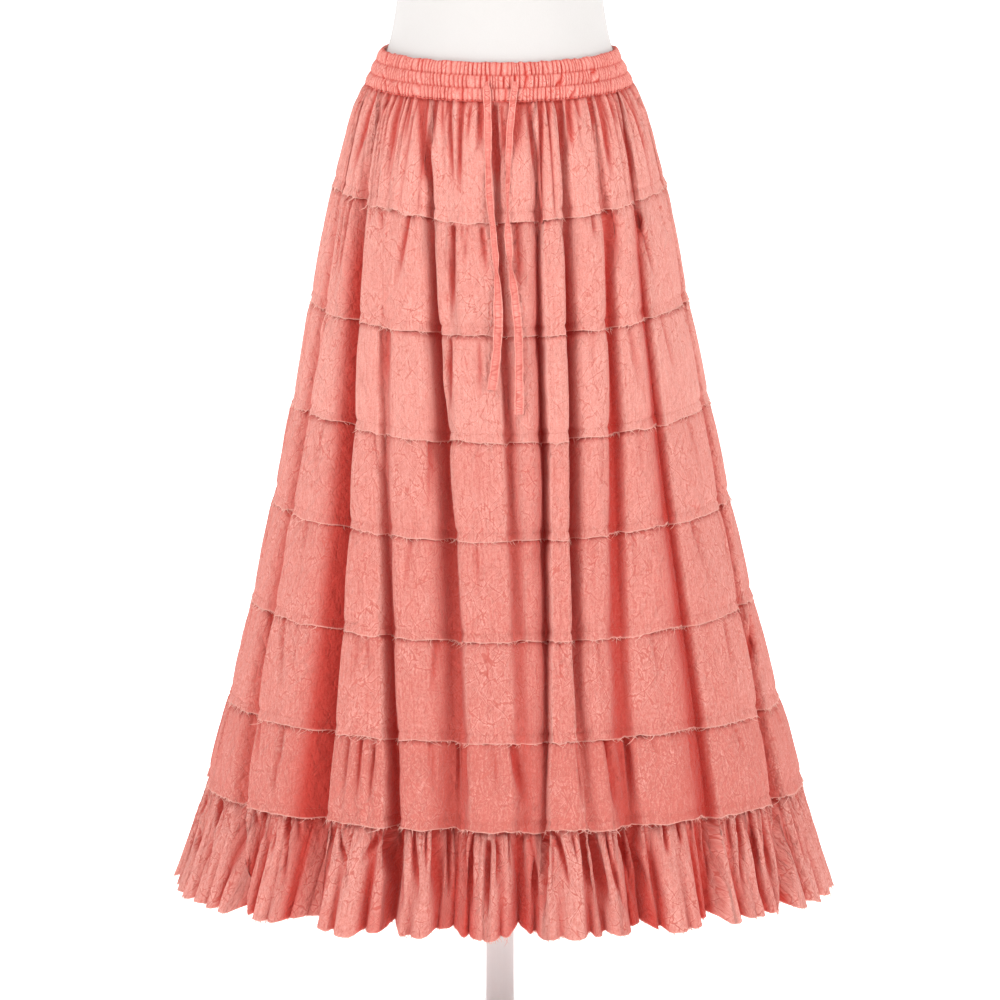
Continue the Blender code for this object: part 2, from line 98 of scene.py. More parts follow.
# The troughs between the pipes of cloth. Where each lies, in degrees round from the front, and how deep it
# is, in millimetres, stand at four heights. Then come how wide its slot is to the left and to the right, at
# the waist and at the hem, how far the cloth on its left and on its right leans over it, all in
# millimetres, and how much shade is painted in it at the waist and at the hem.
FOLD_HEIGHTS = [LEVEL[name] for name in ("band_bottom", "seam_2", "seam_5", "hem")]
FOLD_COLUMNS = (
    "at_waist", "at_seam_2", "at_seam_5", "at_hem",
    "waist", "seam_2", "seam_5", "hem",
    "left_high", "left_low", "right_high", "right_low",
    "lean_left", "lean_right", "dark_high", "dark_low",
)  # fmt: skip
FOLDS = (
    (-166, -166, -165, -164, 1.0, 18, 22, 28, 6, 12, 4, 7, 1, 2, 0.6, 0.8),
    (-151, -150, -149, -148, 1.0, 26, 31, 32, 4, 6, 6, 12, 3, 0, 0.9, 1.0),
    (-136, -135, -133, -131, 1.0, 12, 15, 24, 8, 18, 5, 9, 0, 3, 0.4, 0.7),
    (-120, -119, -117, -115, 1.0, 28, 33, 32, 5, 9, 5, 9, 0, 4, 0.9, 1.0),
    (-105, -104, -104, -103, 1.0, 12, 14, 24, 5, 9, 8, 16, 3, 0, 0.4, 0.6),
    (-91, -91, -91, -88, 0.6, 9, 12, 20, 8, 15, 8, 15, 0, 0, 0.3, 0.5),
    (-76, -69, -67, -53, 0.6, 9, 12, 22, 7, 13, 5, 8, 0, 1, 0.3, 0.5),
    (-60, -49.2, -40.6, -36.5, 2.0, 36, 40, 42, 8, 21, 5, 9, 0, 3, 1.5, 1.9),
    (-42, -37.7, -28, -20.6, 0.4, 4, 26, 34, 5, 6, 8, 10, 3, 0, -0.3, 1.1),
    (-29.5, -19.9, -11.2, -9.8, 2.0, 36, 27, 28, 3, 21, 3.5, 16, 0, 2, 0.8, 0.4),
    (-1.9, 1.5, 3.7, 2.8, 1.0, 17, 9, 20, 4, 9, 4.5, 9, 0, 0, 0.65, 0.25),
    (14.8, 14.2, 11.3, 5.8, 2.0, 36, 29, 10, 6, 13, 2.2, 3.5, 0, 3, 1.1, 0.35),
    (25.7, 22.9, 17.3, 18.5, 2.0, 36, 22, 8, 7, 6, 5.5, 8.5, 2, 0, 1.2, 0.0),
    (41.5, 37.8, 28.2, 26, 0.8, 18, 12, 26, 6, 17, 5, 12, 0, 2, 1.0, 0.5),
    (60.5, 53.6, 48.2, 42, 2.0, 11, 14, 28, 8, 22, 4, 8, 0, 5, 0.65, 1.05),
    (86, 82, 75, 60, 0.6, 9, 16, 22, 8, 13, 6, 9, 0, 2, 0.3, 0.6),
    (100, 99, 98, 92, 0.6, 10, 14, 20, 8, 14, 8, 14, 0, 0, 0.3, 0.5),
    (114, 113, 112, 110, 1.0, 26, 31, 32, 8, 13, 5, 7, 2, 0, 0.9, 1.0),
    (130, 130, 128, 127, 1.0, 12, 14, 24, 5, 9, 8, 18, 3, 0, 0.4, 0.7),
    (146, 146, 146, 144, 1.0, 28, 32, 32, 5, 8, 5, 8, 2, 2, 0.9, 1.0),
    (162, 162, 162, 162, 1.0, 14, 16, 26, 9, 16, 5, 8, 0, 2, 0.4, 0.7),
    (179, 178, 178, 178, 1.0, 24, 29, 30, 4, 7, 7, 13, 3, 0, 0.8, 1.0),
)
FOLD = {column: np.array([row[i] for row in FOLDS], float) for i, column in enumerate(FOLD_COLUMNS)}
BRINK_HIGHLIGHT = 0.5  # painted highlight: how much lighter the colour is along the brink of a trough's steep wall
FULL_BRINK = 0.02  # from what depth of the trough on, in metres
ROUND_SHARE = 0.12  # share of a trough's depth that is a wide round dip; the rest is its slot

# Cloth that dips in hangs steeper, so it ends lower, and only the ruffle's rides up. Each height, and how far
# up the cloth goes as a share of its dip.
TROUGH_RISE = ((0.196, 0.35), (0.306, -0.10), (0.396, -0.17), (0.98, -0.17), (1.048, 0.0))

# How far in cloth may dip at a height before it would rest on the form: each height and millimetres.
ROOM_ABOVE_FORM = (
    (0.74, 70), (0.821, 44), (0.87, 34), (0.90, 29), (0.942, 23), (0.985, 16), (1.022, 10), (1.048, 4.5),
)  # fmt: skip

# The ruffle's own waves at the hem: where the trough between two of them lies, in degrees, and how deep it
# is, in millimetres.
WAVES = (
    (-175, 11), (-168, 14), (-162, 20), (-156, 10), (-149, 18), (-143, 11), (-137, 14), (-131, 19),
    (-125, 11), (-118, 13), (-112, 19), (-106, 10), (-99, 16), (-91, 12), (-82.4, 12), (-76, 10),
    (-69.6, 16), (-64.5, 7), (-60.6, 14), (-53.7, 20), (-50.2, 18), (-45.5, 7), (-41.7, 16), (-38.5, 6),
    (-35.3, 14), (-31.2, 12), (-25.4, 20), (-21.2, 24), (-16.5, 8), (-12.1, 14), (-9.2, 16), (-6.2, 22),
    (-3.4, 6), (-0.5, 12), (2.7, 26), (5.6, 16), (10, 8), (15.4, 13), (18, 12), (21, 6),
    (23.6, 18), (26.4, 24), (29, 19), (34, 8), (38, 20), (41, 20), (46.8, 14), (49.8, 6),
    (53.5, 18), (57, 7), (61.2, 16), (67.5, 16), (74.5, 13), (82, 11), (91, 12), (99, 17),
    (106, 11), (113, 19), (121, 12), (127, 18), (134, 10), (140, 12), (146, 21), (153, 11),
    (159, 9), (165, 20), (172, 12), (178.5, 17),
)  # fmt: skip
WAVE_PLACE, WAVE_DEPTH = np.array(WAVES, float).T
PIPES_AT_HEM = 0.7  # share of the big troughs' depth that is left at the hem, among the waves
WAVE_START, WAVE_SHARP = 0.3, 1.9  # share of a wave's depth at its top, and how narrow its trough is
FULL_WAVE = 6.0  # degrees: between troughs nearer than this the cloth stays in a recess
PIPE_ROUND = 0.45  # how far round the waves' ridges and narrow their troughs are, as a share

# The dress form's ovals from the bottom up.
TORSO_RINGS = (  # height, half width, half depth and forward shift
    (0.745, 0.104, 0.082, 0.0), (0.750, 0.124, 0.096, 0.0), (0.770, 0.142, 0.105, 0.0),
    (0.810, 0.150, 0.110, 0.0), (0.870, 0.154, 0.112, 0.0), (0.940, 0.150, 0.111, 0.0),
    (1.000, 0.1425, 0.106, 0.0), (1.045, 0.1335, 0.1035, 0.0), (1.085, 0.1165, 0.092, 0.0),
    (1.135, 0.1070, 0.084, 0.0), (1.175, 0.1040, 0.081, 0.0), (1.220, 0.1090, 0.086, 0.004),
    (1.280, 0.1260, 0.101, 0.012), (1.335, 0.1390, 0.112, 0.016), (1.390, 0.1470, 0.108, 0.010),
    (1.435, 0.1560, 0.094, 0.0), (1.465, 0.1560, 0.080, -0.006), (1.485, 0.1320, 0.070, -0.010),
    (1.500, 0.0900, 0.062, -0.010), (1.515, 0.0620, 0.057, -0.008), (1.560, 0.0540, 0.054, -0.002),
)  # fmt: skip

# Furrows laid on the front of each tier (8 is the ruffle): where each starts and where it ends, as
# degrees round from the front and the share of the tier's height from its top, its half width and its
# depth, in millimetres.
FURROWS = {
    1: (
        (-65, 0.05, -64, 0.9, 3, 7), (-59, 0, -55.5, 0.85, 2.5, 7), (-75, 0.1, -71.5, 0.85, 2.5, 4),
        (-46, 0, -44, 0.95, 3, 5), (-40, 0, -38.5, 0.55, 2, 4), (-34.5, 0, -23, 1, 4, 8),
        (-28, 0, -26, 0.45, 2.5, 6), (-25, 0, -22, 0.35, 1.5, 4), (-21, 0, -15, 0.95, 2, 7),
        (-16, 0.05, -14, 0.9, 2, 6), (-12, 0.05, -12.5, 0.4, 1.5, 3.5), (-7, 0.05, -7, 0.5, 2.5, 5),
        (-2, 0.05, -1, 0.8, 2.5, 8), (1, 0.05, 1.5, 0.4, 2, 4), (7.5, 0.05, 7, 0.55, 3, 4),
        (13, 0.05, 14, 0.75, 2.5, 8), (18, 0, 15, 0.65, 2, 6), (22, 0, 20.5, 0.2, 1.5, 4),
        (26, 0, 25, 0.75, 3, 7), (30, 0.05, 28.5, 0.55, 2.5, 7), (35, 0, 34.5, 0.25, 2, 4),
        (42, 0, 40, 0.5, 2, 5), (47, 0, 44, 0.95, 3.5, 6), (53, 0, 54, 0.35, 2, 5),
        (57.5, 0, 58, 0.95, 2.5, 8), (66.5, 0, 71.5, 0.8, 2.5, 5), (81.5, 0.05, 91, 0.45, 2, 4),
        (-54, 0, -56.5, 0.35, 2, 5), (-49, 0, -50, 0.25, 1.5, 4),
    ),
    2: (
        (-65, 0, -63, 0.9, 2, 6), (-61.5, 0, -61.5, 0.9, 2, 8), (-71, 0, -68, 0.4, 2, 4),
        (-50, 0, -49, 0.2, 1.5, 4), (-45, 0, -41.5, 0.25, 1.5, 4), (-32.5, 0, -34, 0.75, 2.5, 6),
        (-30.5, 0, -30, 0.1, 1.5, 4), (-16, 0.05, -14, 1, 2.5, 11), (-14.5, 0.05, -13.5, 0.2, 1.5, 4),
        (-13, 0.05, -12, 0.35, 1.5, 4), (-11, 0.05, -11, 0.45, 1.5, 5), (-6, 0.05, -3, 0.6, 3, 5),
        (6.4, 0, 7.2, 0.8, 2.5, 9), (10, 0, 10, 0.15, 1.5, 3), (17, 0, 16.5, 0.1, 1.5, 3),
        (31, 0, 31, 0.1, 1.5, 4), (34, 0, 32.5, 0.3, 1.5, 5), (42.5, 0, 42, 0.7, 5, 5),
        (55.5, 0, 59, 0.8, 2, 8), (69.5, 0, 73, 0.5, 1.5, 3),
    ),
    3: (
        (-64.5, 0, -67.5, 0.9, 2, 5), (-37, 0, -35, 0.95, 6, 4), (-15, 0.05, -14, 0.9, 2, 8),
        (-6, 0.05, -5, 0.95, 2.5, 3), (7.5, 0, 8, 0.9, 2.5, 4), (43, 0, 43, 0.85, 4, 3),
        (59, 0, 61.5, 0.85, 2.5, 3), (75, 0, 80.5, 0.9, 1.5, 3), (29, 0, 26.5, 0.85, 3, 1.5),
    ),
    4: (
        (-67, 0, -66, 0.9, 2.5, 4), (-57, 0, -56, 0.8, 1.5, 2.5), (-37, 0, -32, 0.65, 1.5, 3),
        (-19.5, 0, -18.5, 0.9, 3, 4), (-6, 0.05, -5, 0.9, 3, 2), (8, 0, 7, 0.95, 2, 3),
        (28.5, 0, 26, 0.9, 1.5, 2), (62.5, 0, 64, 0.8, 1.5, 3), (74, 0, 76, 0.75, 1.5, 2.5),
        (41, 0, 39, 0.7, 3, 2),
    ),
    5: (
        (-68, 0, -64.5, 0.85, 2.5, 4), (-57, 0, -55, 0.8, 1.5, 3), (-23, 0, -23.5, 0.75, 3, 3),
        (-6, 0.05, -5, 0.8, 3, 3), (23, 0, 22, 0.8, 2.5, 2.5), (35, 0, 33, 0.8, 3, 2),
        (56, 0, 58.5, 0.85, 2, 3.5), (71, 0, 69, 0.8, 1.5, 3), (8.5, 0.05, 7, 0.6, 2, 3),
    ),
    6: (
        (-69.5, 0, -63.5, 0.75, 2, 4), (-60, 0, -53.5, 0.8, 2, 5), (-54, 0, -50.5, 0.65, 1.5, 2.5),
        (-15, 0, -15.5, 0.8, 3, 4), (-34.5, 0, -33, 0.65, 2.5, 2.5), (-32, 0, -29, 0.65, 1.5, 2.5),
        (-3.5, 0.05, -2, 0.9, 2.5, 2.5), (13, 0, 12.5, 0.8, 2.5, 2), (22, 0, 21.5, 0.85, 2, 3),
        (36, 0, 36, 0.8, 2, 2.5), (60.5, 0.05, 59, 0.8, 2, 3), (78, 0.1, 70.5, 0.9, 2, 8),
    ),
    7: (
        (-62, 0, -57, 0.75, 4, 3), (-51.5, 0, -50.8, 0.9, 1.5, 8), (-33.5, 0, -32.5, 0.8, 1.5, 6),
        (-27.5, 0, -26.8, 0.9, 1.5, 7), (-30.5, 0, -29.5, 0.85, 2, 8), (-15, 0, -13, 0.85, 3, 3.5),
        (-10, 0, -9, 0.9, 1.5, 5), (-8, 0, -7, 0.9, 1.5, 6), (2, 0, 4, 0.8, 4, 7),
        (-2, 0.05, -1, 0.8, 2, 3), (15.2, 0, 15.3, 0.9, 1.5, 6), (21.8, 0, 22.3, 1, 3.5, 12),
        (26.8, 0, 26.2, 0.9, 2, 8), (32, 0, 32, 0.3, 1.5, 2.5), (42.5, 0, 40, 0.8, 2, 3),
        (55, 0, 58, 0.6, 1.5, 3), (70.5, 0, 66, 0.9, 2, 8),
    ),
    8: (
        (-82, 0.05, -73, 0.9, 2.5, 7), (-71.5, 0, -65.5, 0.9, 2.5, 6), (-67, 0, -67, 0.5, 2, 4),
        (-60, 0, -53, 0.8, 3, 8), (-54, 0, -52, 0.3, 2, 5), (-56.5, 0, -54, 0.2, 1.5, 4),
        (-49, 0, -48, 0.45, 2.5, 6), (-46, 0, -42.5, 0.8, 2, 7), (-43.5, 0, -42, 0.3, 1.5, 4),
        (-35, 0.05, -34.5, 0.55, 2, 5), (-33, 0.05, -28, 0.7, 1.5, 5), (-30, 0.05, -30.5, 0.4, 1.5, 4),
        (-24.5, 0, -27, 0.4, 2, 5), (-23.5, 0, -21, 0.65, 2, 6), (-20, 0.05, -18.5, 0.85, 2, 6),
        (-17.5, 0, -15, 0.85, 2, 5), (-15, 0, -14, 0.35, 1.5, 4), (-13, 0, -12, 0.85, 2.5, 7),
        (-11, 0, -10, 0.85, 2, 8), (-8, 0, -7, 0.85, 2, 6), (-6.5, 0, -6, 0.85, 2, 6),
        (-3, 0.1, -3, 0.95, 2.5, 8), (-1, 0.1, -1, 0.6, 1.5, 5), (1, 0, 1.5, 0.45, 1.5, 4),
        (5, 0.05, 6, 0.75, 2.5, 9), (8, 0.05, 6.5, 0.95, 2, 8), (10, 0.05, 12, 0.65, 2, 6),
        (13, 0.05, 14, 0.35, 1.5, 4), (15, 0, 16, 0.7, 2.5, 8), (17, 0, 19, 0.9, 2.5, 8),
        (19, 0, 23, 0.95, 2.5, 7), (23, 0, 25.5, 0.85, 3, 9), (25, 0, 27.5, 0.7, 2, 6),
        (28, 0, 29, 0.85, 2.5, 8), (32, 0, 31.5, 0.35, 2, 6), (35, 0, 35, 0.25, 2, 5),
        (44, 0, 41, 0.85, 2.5, 7), (48, 0, 47, 0.45, 2, 5), (51, 0, 47, 0.95, 2.5, 7),
        (55, 0, 52, 0.95, 2.5, 7), (59, 0, 56, 0.9, 2.5, 7), (64, 0, 62, 0.9, 2.5, 8),
        (71, 0, 71, 0.85, 2.5, 8), (77, 0, 80, 0.9, 2, 5),
    ),
}  # fmt: skip
HIDDEN_FURROWS = (30, 22, 14, 14, 14, 16, 18, 44)  # how many similar ones each tier has out of sight

# ---------------------------------------------------------------- whole-array geometry


def ring_at(column, level):
    """A column of the outline table at this height, straight from one row to the next."""
    return np.interp(level, RING["height"][::-1], RING[column][::-1])


def oval(angle, level, lift):
    """Points on the skirt's oval outline at this height, moved out from it by lift: x is the half width
    times the sine, y the half depth times minus the cosine, and z droops by the cosine squared."""
    wide, deep = ring_at("half_width", level) + lift, ring_at("half_depth", level) + lift
    x = ring_at("right_shift", level) + wide * np.sin(angle)
    y = -deep * np.cos(angle)
    z = level - ring_at("front_droop", level) * np.cos(angle) ** 2
    return np.stack([x, y, z], axis=-1)


def fold_curves(columns, unit):
    """For each trough, the cubic through its four table values, as coefficients from the lowest power."""
    values = np.array([FOLD[column] for column in columns]) * unit
    return np.polynomial.polynomial.polyfit(FOLD_HEIGHTS, values, 3)


FOLD_PLACE = fold_curves(FOLD_COLUMNS[:4], 1.0)
FOLD_DEPTH = fold_curves(FOLD_COLUMNS[4:8], MM)


def fold_at(curves, fold, level):
    return sum(curves[power][fold] * level**power for power in range(4))


def fold_between(column, fold, down):
    """A trough's value on the way from the waist's to the hem's."""
    high, low = FOLD[column + "_high"], FOLD[column + "_low"]
    return high[fold] + (low - high)[fold] * down


def degree_at(angle, level):
    """How long one degree round the skirt's oval is at an angle in degrees, in metres."""
    angle = np.radians(angle)
    wide, deep = ring_at("half_width", level), ring_at("half_depth", level)
    return np.hypot(wide * np.cos(angle), deep * np.sin(angle)) * np.pi / 180


def kept_off(dip, level):
    """A dip eased off towards the room above the form at its height: the room times tanh of their share."""
    height, room = np.array(ROOM_ABOVE_FORM).T
    most = np.interp(level, height, room) * MM
    return most * np.tanh(dip / most)


def widths(places):
    """How far it is from each place round the skirt to the next, in degrees."""
    return np.diff(places, append=places[0] + 360)


def rolled(across, share):
    """Points across a pipe, moved as on a rolling circle: ridges round, troughs narrow."""
    return across - share * np.sin(TURN * across) / TURN


def dipped(across):
    """How far a point across a pipe lies in its trough, from 0 on the ridge to 1: a raised cosine."""
    return (1 + np.cos(TURN * across)) / 2


def eased(before, after, across):
    """From one trough's value to the next one's, level at both."""
    return before + (after - before) * (1 - np.cos(np.pi * across)) / 2


def parts_of(column, count):
    whole = np.floor(column).astype(int)
    return whole % count, (whole + 1) % count, column - whole


def bell(share):
    """The normal curve: 1 at 0, and near 0 from 2 on."""
    return np.exp(-(share**2))


def smooth_step(share):
    share = np.clip(share, 0, 1)
    return share * share * (3 - 2 * share)


def lattice_noise(around, along, cells, rows, seed):
    """Smooth random values from -1 to 1. Seeded numbers stand on a lattice of so many cells round the
    ring and rows along, and each point is eased between its four neighbours."""
    values = np.random.default_rng(seed).uniform(-1, 1, (rows + 2, cells))
    around, along = np.broadcast_arrays((around % 1) * cells, np.clip(along, 0, 1) * rows)
    i, j = np.floor(around).astype(int), np.floor(along).astype(int)
    right, up = smooth_step(around - i), smooth_step(along - j)
    low = values[j, i % cells] * (1 - right) + values[j, (i + 1) % cells] * right
    high = values[j + 1, i % cells] * (1 - right) + values[j + 1, (i + 1) % cells] * right
    return low * (1 - up) + high * up


def ring_noise(turn, cells, seed):
    """The same noise in one row of so many cells round the ring."""
    return lattice_noise(turn, 0, cells, 1, seed)


def slot(distance, half_width, softness):
    """1 in the middle of a trough's slot and 0 beside it: e to minus the distance's share of the half
    width, raised to 7 for a steep wall and to 1.8 for a soft slope."""
    return np.exp(-((distance / half_width) ** (7 - 5.2 * softness)))


def pipes(column, level):
    """Angle in degrees, dip of the cloth and the shade painted on it. A trough's dip is a wide raised cosine
    and a slot in it, with a wall of its own width on either side. The wider wall is the softer, and the
    cloth beside a wall can lean over the slot, by a shift that fades out slowly away from it. Along the
    brink of a steep wall a highlight is painted, so the painted shade goes below 0 there."""
    left, right, across = parts_of(column, len(FOLDS))
    start = fold_at(FOLD_PLACE, left, level)
    width = (fold_at(FOLD_PLACE, right, level) - start) % 360
    degree = degree_at(start + width * across, level)
    down = (FOLD_HEIGHTS[0] - level) / (FOLD_HEIGHTS[0] - FOLD_HEIGHTS[-1])
    # Below the waist the leans, the painted shade and the width of the slots each grow to their full size.
    grown = np.clip(4 * down, 0, 1)
    dark_grown = np.clip(7 * down - 0.4, 0, 1)
    narrowed = (0.6 + 0.4 * np.clip(5 * down, 0, 1)) * MM
    dip, shift, dark = 0.0, 0.0, 0.0
    for fold, distance, way, near, far in (
        (left, across * width * degree, -1, "right", "left"),
        (right, (1 - across) * width * degree, 1, "left", "right"),
    ):
        half, other = (fold_between(side, fold, down) * narrowed for side in (near, far))
        softness = smooth_step(0.5 + 0.9 * (half - other) / (half + other))
        profile = slot(distance, half, softness)
        depth = fold_at(FOLD_DEPTH, fold, level)
        dip = dip + np.maximum(depth, 0) * (1 - ROUND_SHARE) * profile
        # Shade painted in the slot, as strong as the table's dark columns give.
        dark = dark + np.clip(1.35 * fold_between("dark", fold, down) * np.sqrt(profile), 0, 1) * dark_grown
        brink_highlight = bell((distance - 1.2 * half) / (1.1 * MM)) * (1 - softness)
        dark = dark - BRINK_HIGHLIGHT * brink_highlight * np.minimum(depth / FULL_BRINK, 1) * dark_grown
        lean = FOLD["lean_" + near][fold] * MM * grown
        fading = bell(np.maximum(distance - half, 0) / (2.5 * lean + 0.001))
        shift = shift + way * lean * smooth_step(distance / half) * fading
    depth = eased(fold_at(FOLD_DEPTH, left, level), fold_at(FOLD_DEPTH, right, level), across)
    dip = dip + ROUND_SHARE * np.maximum(depth, 0) * dipped(across)
    return start + width * across + shift / degree, kept_off(dip, level), np.clip(dark, -BRINK_HIGHLIGHT, 1)


def hung(angle, level, dip):
    """Points of cloth that dips in from the oval outline, moved up by the table's share of the dip."""
    points = oval(angle, level, -dip)
    points[..., 2] += np.interp(level, *np.array(TROUGH_RISE).T) * dip
    return points


def ruffle_cloth(column, level):
    """Angle in degrees, dip and painted shade of the ruffle, where the whole part of column says which wave.
    At the top it follows the pipes of the tier above, and its own waves grow towards the hem, with shade
    painted in their troughs."""
    down = np.clip((LEVEL["seam_7"] - level) / (LEVEL["seam_7"] - LEVEL["hem"]), 0, 1)
    left, right, across = parts_of(column, len(WAVES))
    angle = WAVE_PLACE[left] + widths(WAVE_PLACE)[left] * rolled(across, PIPE_ROUND * down)
    around = np.arange(0, len(FOLDS), 0.02)
    dip, dark = np.empty((2, *np.broadcast(angle, level).shape))
    for row in range(len(dip)):
        pipe_angle, pipe_dip, pipe_dark = pipes(around, level[row].mean())
        dip[row] = np.interp(angle[row], pipe_angle, pipe_dip, period=360)
        dark[row] = np.interp(angle[row], pipe_angle, pipe_dark, period=360)
    dip *= 1 + (PIPES_AT_HEM - 1) * down
    grown = WAVE_START + (1 - WAVE_START) * down
    ridge = np.minimum(widths(WAVE_PLACE)[left] / FULL_WAVE, 1) * (1 - dipped(across) ** WAVE_SHARP)
    wave = eased(WAVE_DEPTH[left], WAVE_DEPTH[right], across) * (1 - ridge) * grown
    dark = np.clip(dark * (0.65 - 0.45 * down) + smooth_step((wave - 1.5) / 12), -BRINK_HIGHLIGHT, 1)
    return angle, kept_off(dip + wave * MM, level), dark


def outward(points):
    """Level directions square to the cloth, from the run of each row of points round the ring."""
    run = np.roll(points, -1, axis=1) - np.roll(points, 1, axis=1)
    out = np.stack([run[..., 1], -run[..., 0], 0 * run[..., 2]], axis=-1)
    return out / np.maximum(np.linalg.norm(out, axis=-1, keepdims=True), 1e-9)


def along_rows(points):
    """Length run round each row so far, with one more column than the points to close the ring."""
    steps = np.linalg.norm(np.roll(points, -1, axis=1) - points, axis=-1)
    return np.concatenate([np.zeros((len(points), 1)), np.cumsum(steps, axis=1)], axis=1)


def wrapped(values):
    """The rows of values with the first one again at the end."""
    return np.vstack([values, values[:1]])


def at_places(places, known, points):
    """Points at places along a line whose points are known, straight from one to the next."""
    return np.stack([np.interp(places, known, points[:, axis]) for axis in range(3)], axis=-1)


def mesh_piece(name, points, faces, finish, uv=None, marks=None):
    """A mesh object from points, faces of equal length, and for each face corner its place in the cloth
    pattern. marks are named numbers, one for each point, that the material reads."""
    mesh = bpy.data.meshes.new(name)
    corners = faces.shape[1]
    mesh.vertices.add(len(points))
    mesh.vertices.foreach_set("co", points.astype(np.float32).ravel())
    mesh.loops.add(faces.size)
    mesh.loops.foreach_set("vertex_index", faces.astype(np.int32).ravel())
    mesh.polygons.add(len(faces))
    mesh.polygons.foreach_set("loop_start", np.arange(0, faces.size, corners, dtype=np.int32))
    mesh.update(calc_edges=True)
    mesh.polygons.foreach_set("use_smooth", np.ones(len(faces), bool))
    if uv is not None:
        layer = mesh.uv_layers.new(name="pattern")
        layer.uv.foreach_set("vector", uv.astype(np.float32).ravel())
    for mark, values in (marks or {}).items():
        attribute = mesh.attributes.new(mark, "FLOAT", "POINT")
        attribute.data.foreach_set("value", np.broadcast_to(values, len(points)).astype(np.float32))
    mesh.materials.append(finish)
    mesh.validate()
    obj = bpy.data.objects.new(name, mesh)
    bpy.context.scene.collection.objects.link(obj)
    return obj


def grid_piece(name, points, finish, pattern=None, marks=None, closed_up=False):
    """A mesh from rows of points that go up and columns that go round towards +X, facing out. The
    columns close on themselves, and the rows too with closed_up. pattern gives each point's place in the
    cloth pattern, with one more column than the points have."""
    rows, columns = points.shape[:2]
    index = np.arange(rows * columns).reshape(rows, columns)
    index = np.concatenate([index, index[:, :1]], axis=1)
    if closed_up:
        index = np.concatenate([index, index[:1]], axis=0)
    high, wide = index.shape[0] - 1, index.shape[1] - 1

    def face_corners(grid):
        corners = ((0, 0), (0, 1), (1, 1), (1, 0))
        return np.stack([grid[row : row + high, column : column + wide] for row, column in corners], axis=2)

    uv = None if pattern is None else face_corners(pattern).reshape(-1, 2)
    flat_marks = {
        mark: np.broadcast_to(values, (rows, columns)).reshape(-1) for mark, values in (marks or {}).items()
    }
    return mesh_piece(name, points.reshape(-1, 3), face_corners(index).reshape(-1, 4), finish, uv, flat_marks)


def tubes(name, paths, radius, out, sides, finish):
    """Many thin tubes in one mesh, open at both ends. paths holds for each its points and radius its half
    width at each point, and out is a direction that isn't along them."""
    along = np.gradient(paths, axis=1)
    along /= np.maximum(np.linalg.norm(along, axis=-1, keepdims=True), 1e-9)
    side = np.cross(along, np.broadcast_to(out, paths.shape))
    side /= np.maximum(np.linalg.norm(side, axis=-1, keepdims=True), 1e-9)
    face = np.cross(side, along)
    angle = np.linspace(0, TURN, sides, endpoint=False)[:, None]
    ring = side[:, :, None] * np.cos(angle) + face[:, :, None] * np.sin(angle)
    points = paths[:, :, None] + ring * radius[:, :, None, None]
    count, steps = paths.shape[:2]
    index = np.arange(count * steps * sides).reshape(count, steps, sides)
    turned = np.roll(index, -1, axis=2)
    faces = np.stack([index[:, :-1], turned[:, :-1], turned[:, 1:], index[:, 1:]], axis=-1)
    return mesh_piece(name, points.reshape(-1, 3), faces.reshape(-1, 4), finish)


# ---------------------------------------------------------------- finishes


def node_maker(tree):
    """A function that adds a node to the tree, sets its values and links its sockets, which are named, or
    numbered as in _0. It gives back the node. Given a node in place of a kind, it sets that one."""

    def add(kind, settings=None, **inputs):
        node = tree.nodes.new("ShaderNode" + kind) if isinstance(kind, str) else kind
        for key, value in (settings or {}).items():
            setattr(node, key, value)
        for key, value in inputs.items():
            socket = node.inputs[int(key[1:])] if key[0] == "_" else node.inputs[key.replace("_", " ")]
            if isinstance(value, bpy.types.NodeSocket):
                tree.links.new(value, socket)
            else:
                socket.default_value = value
        return node

    return add


def new_material(name):
    """A material, its Principled shader, and the function that adds nodes to it."""
    material = bpy.data.materials.new(name)
    material.use_nodes = True
    return material, material.node_tree.nodes["Principled BSDF"], node_maker(material.node_tree)


def blended(add, share, dark, light):
    """A colour between two, by a socket's value."""
    return add("Mix", {"data_type": "RGBA"}, _0=share, _6=dark, _7=light).outputs[2]


def plus(add, one, two, times=1.0):
    """one + two × times."""
    return add("Math", {"operation": "MULTIPLY_ADD"}, _0=two, _1=times, _2=one).outputs[0]


def summed(add, total, *parts):
    """The total with each part's value times its weight added."""
    for part, weight in parts:
        total = plus(add, total, part, weight)
    return total


def product(add, one, two, clamped=False):
    return add("Math", {"operation": "MULTIPLY", "use_clamp": clamped}, _0=one, _1=two).outputs[0]


def ranged(add, value, start, end, low=0.0, high=1.0, easing="LINEAR"):
    """A value's way from start to end, laid from low to high and held there on either side."""
    settings = {"clamp": True, "interpolation_type": easing}
    ends = {"From_Min": start, "From_Max": end, "To_Min": low, "To_Max": high}
    return add("MapRange", settings, Value=value, **ends).outputs[0]


def crease_lines(add, pattern, turn, stretch, seed_shift, width):
    """Thin creases between the cells of a turned and stretched cell pattern, below 0 in the crease, up to
    0.25 on its banks and 0 off it, and how far in from the creases each point is. turn is in degrees, and
    stretch is a cell's width and its length along the turned way, in metres."""
    mapped = add(
        "Mapping",
        {"vector_type": "TEXTURE"},
        Vector=pattern,
        Location=(seed_shift, seed_shift * 0.7, 0),
        Rotation=(0, 0, math.radians(turn)),
        Scale=(*stretch, 1),
    ).outputs[0]
    bent = add("TexNoise", {"noise_dimensions": "2D"}, Vector=mapped, Scale=1.3, Detail=2.0).outputs["Color"]
    moved = add("VectorMath", {"operation": "MULTIPLY_ADD"}, _0=bent, _1=(0.9, 0.9, 0), _2=mapped).outputs[0]
    settings = {"feature": "DISTANCE_TO_EDGE", "voronoi_dimensions": "2D"}
    cells = add("TexVoronoi", settings, Vector=moved, Scale=1.0).outputs["Distance"]
    line = ranged(add, cells, 0.0, width, -1.0, 0.0)
    bank = ranged(add, cells, width, 3 * width, 0.25, 0.0)
    return plus(add, line, bank), cells


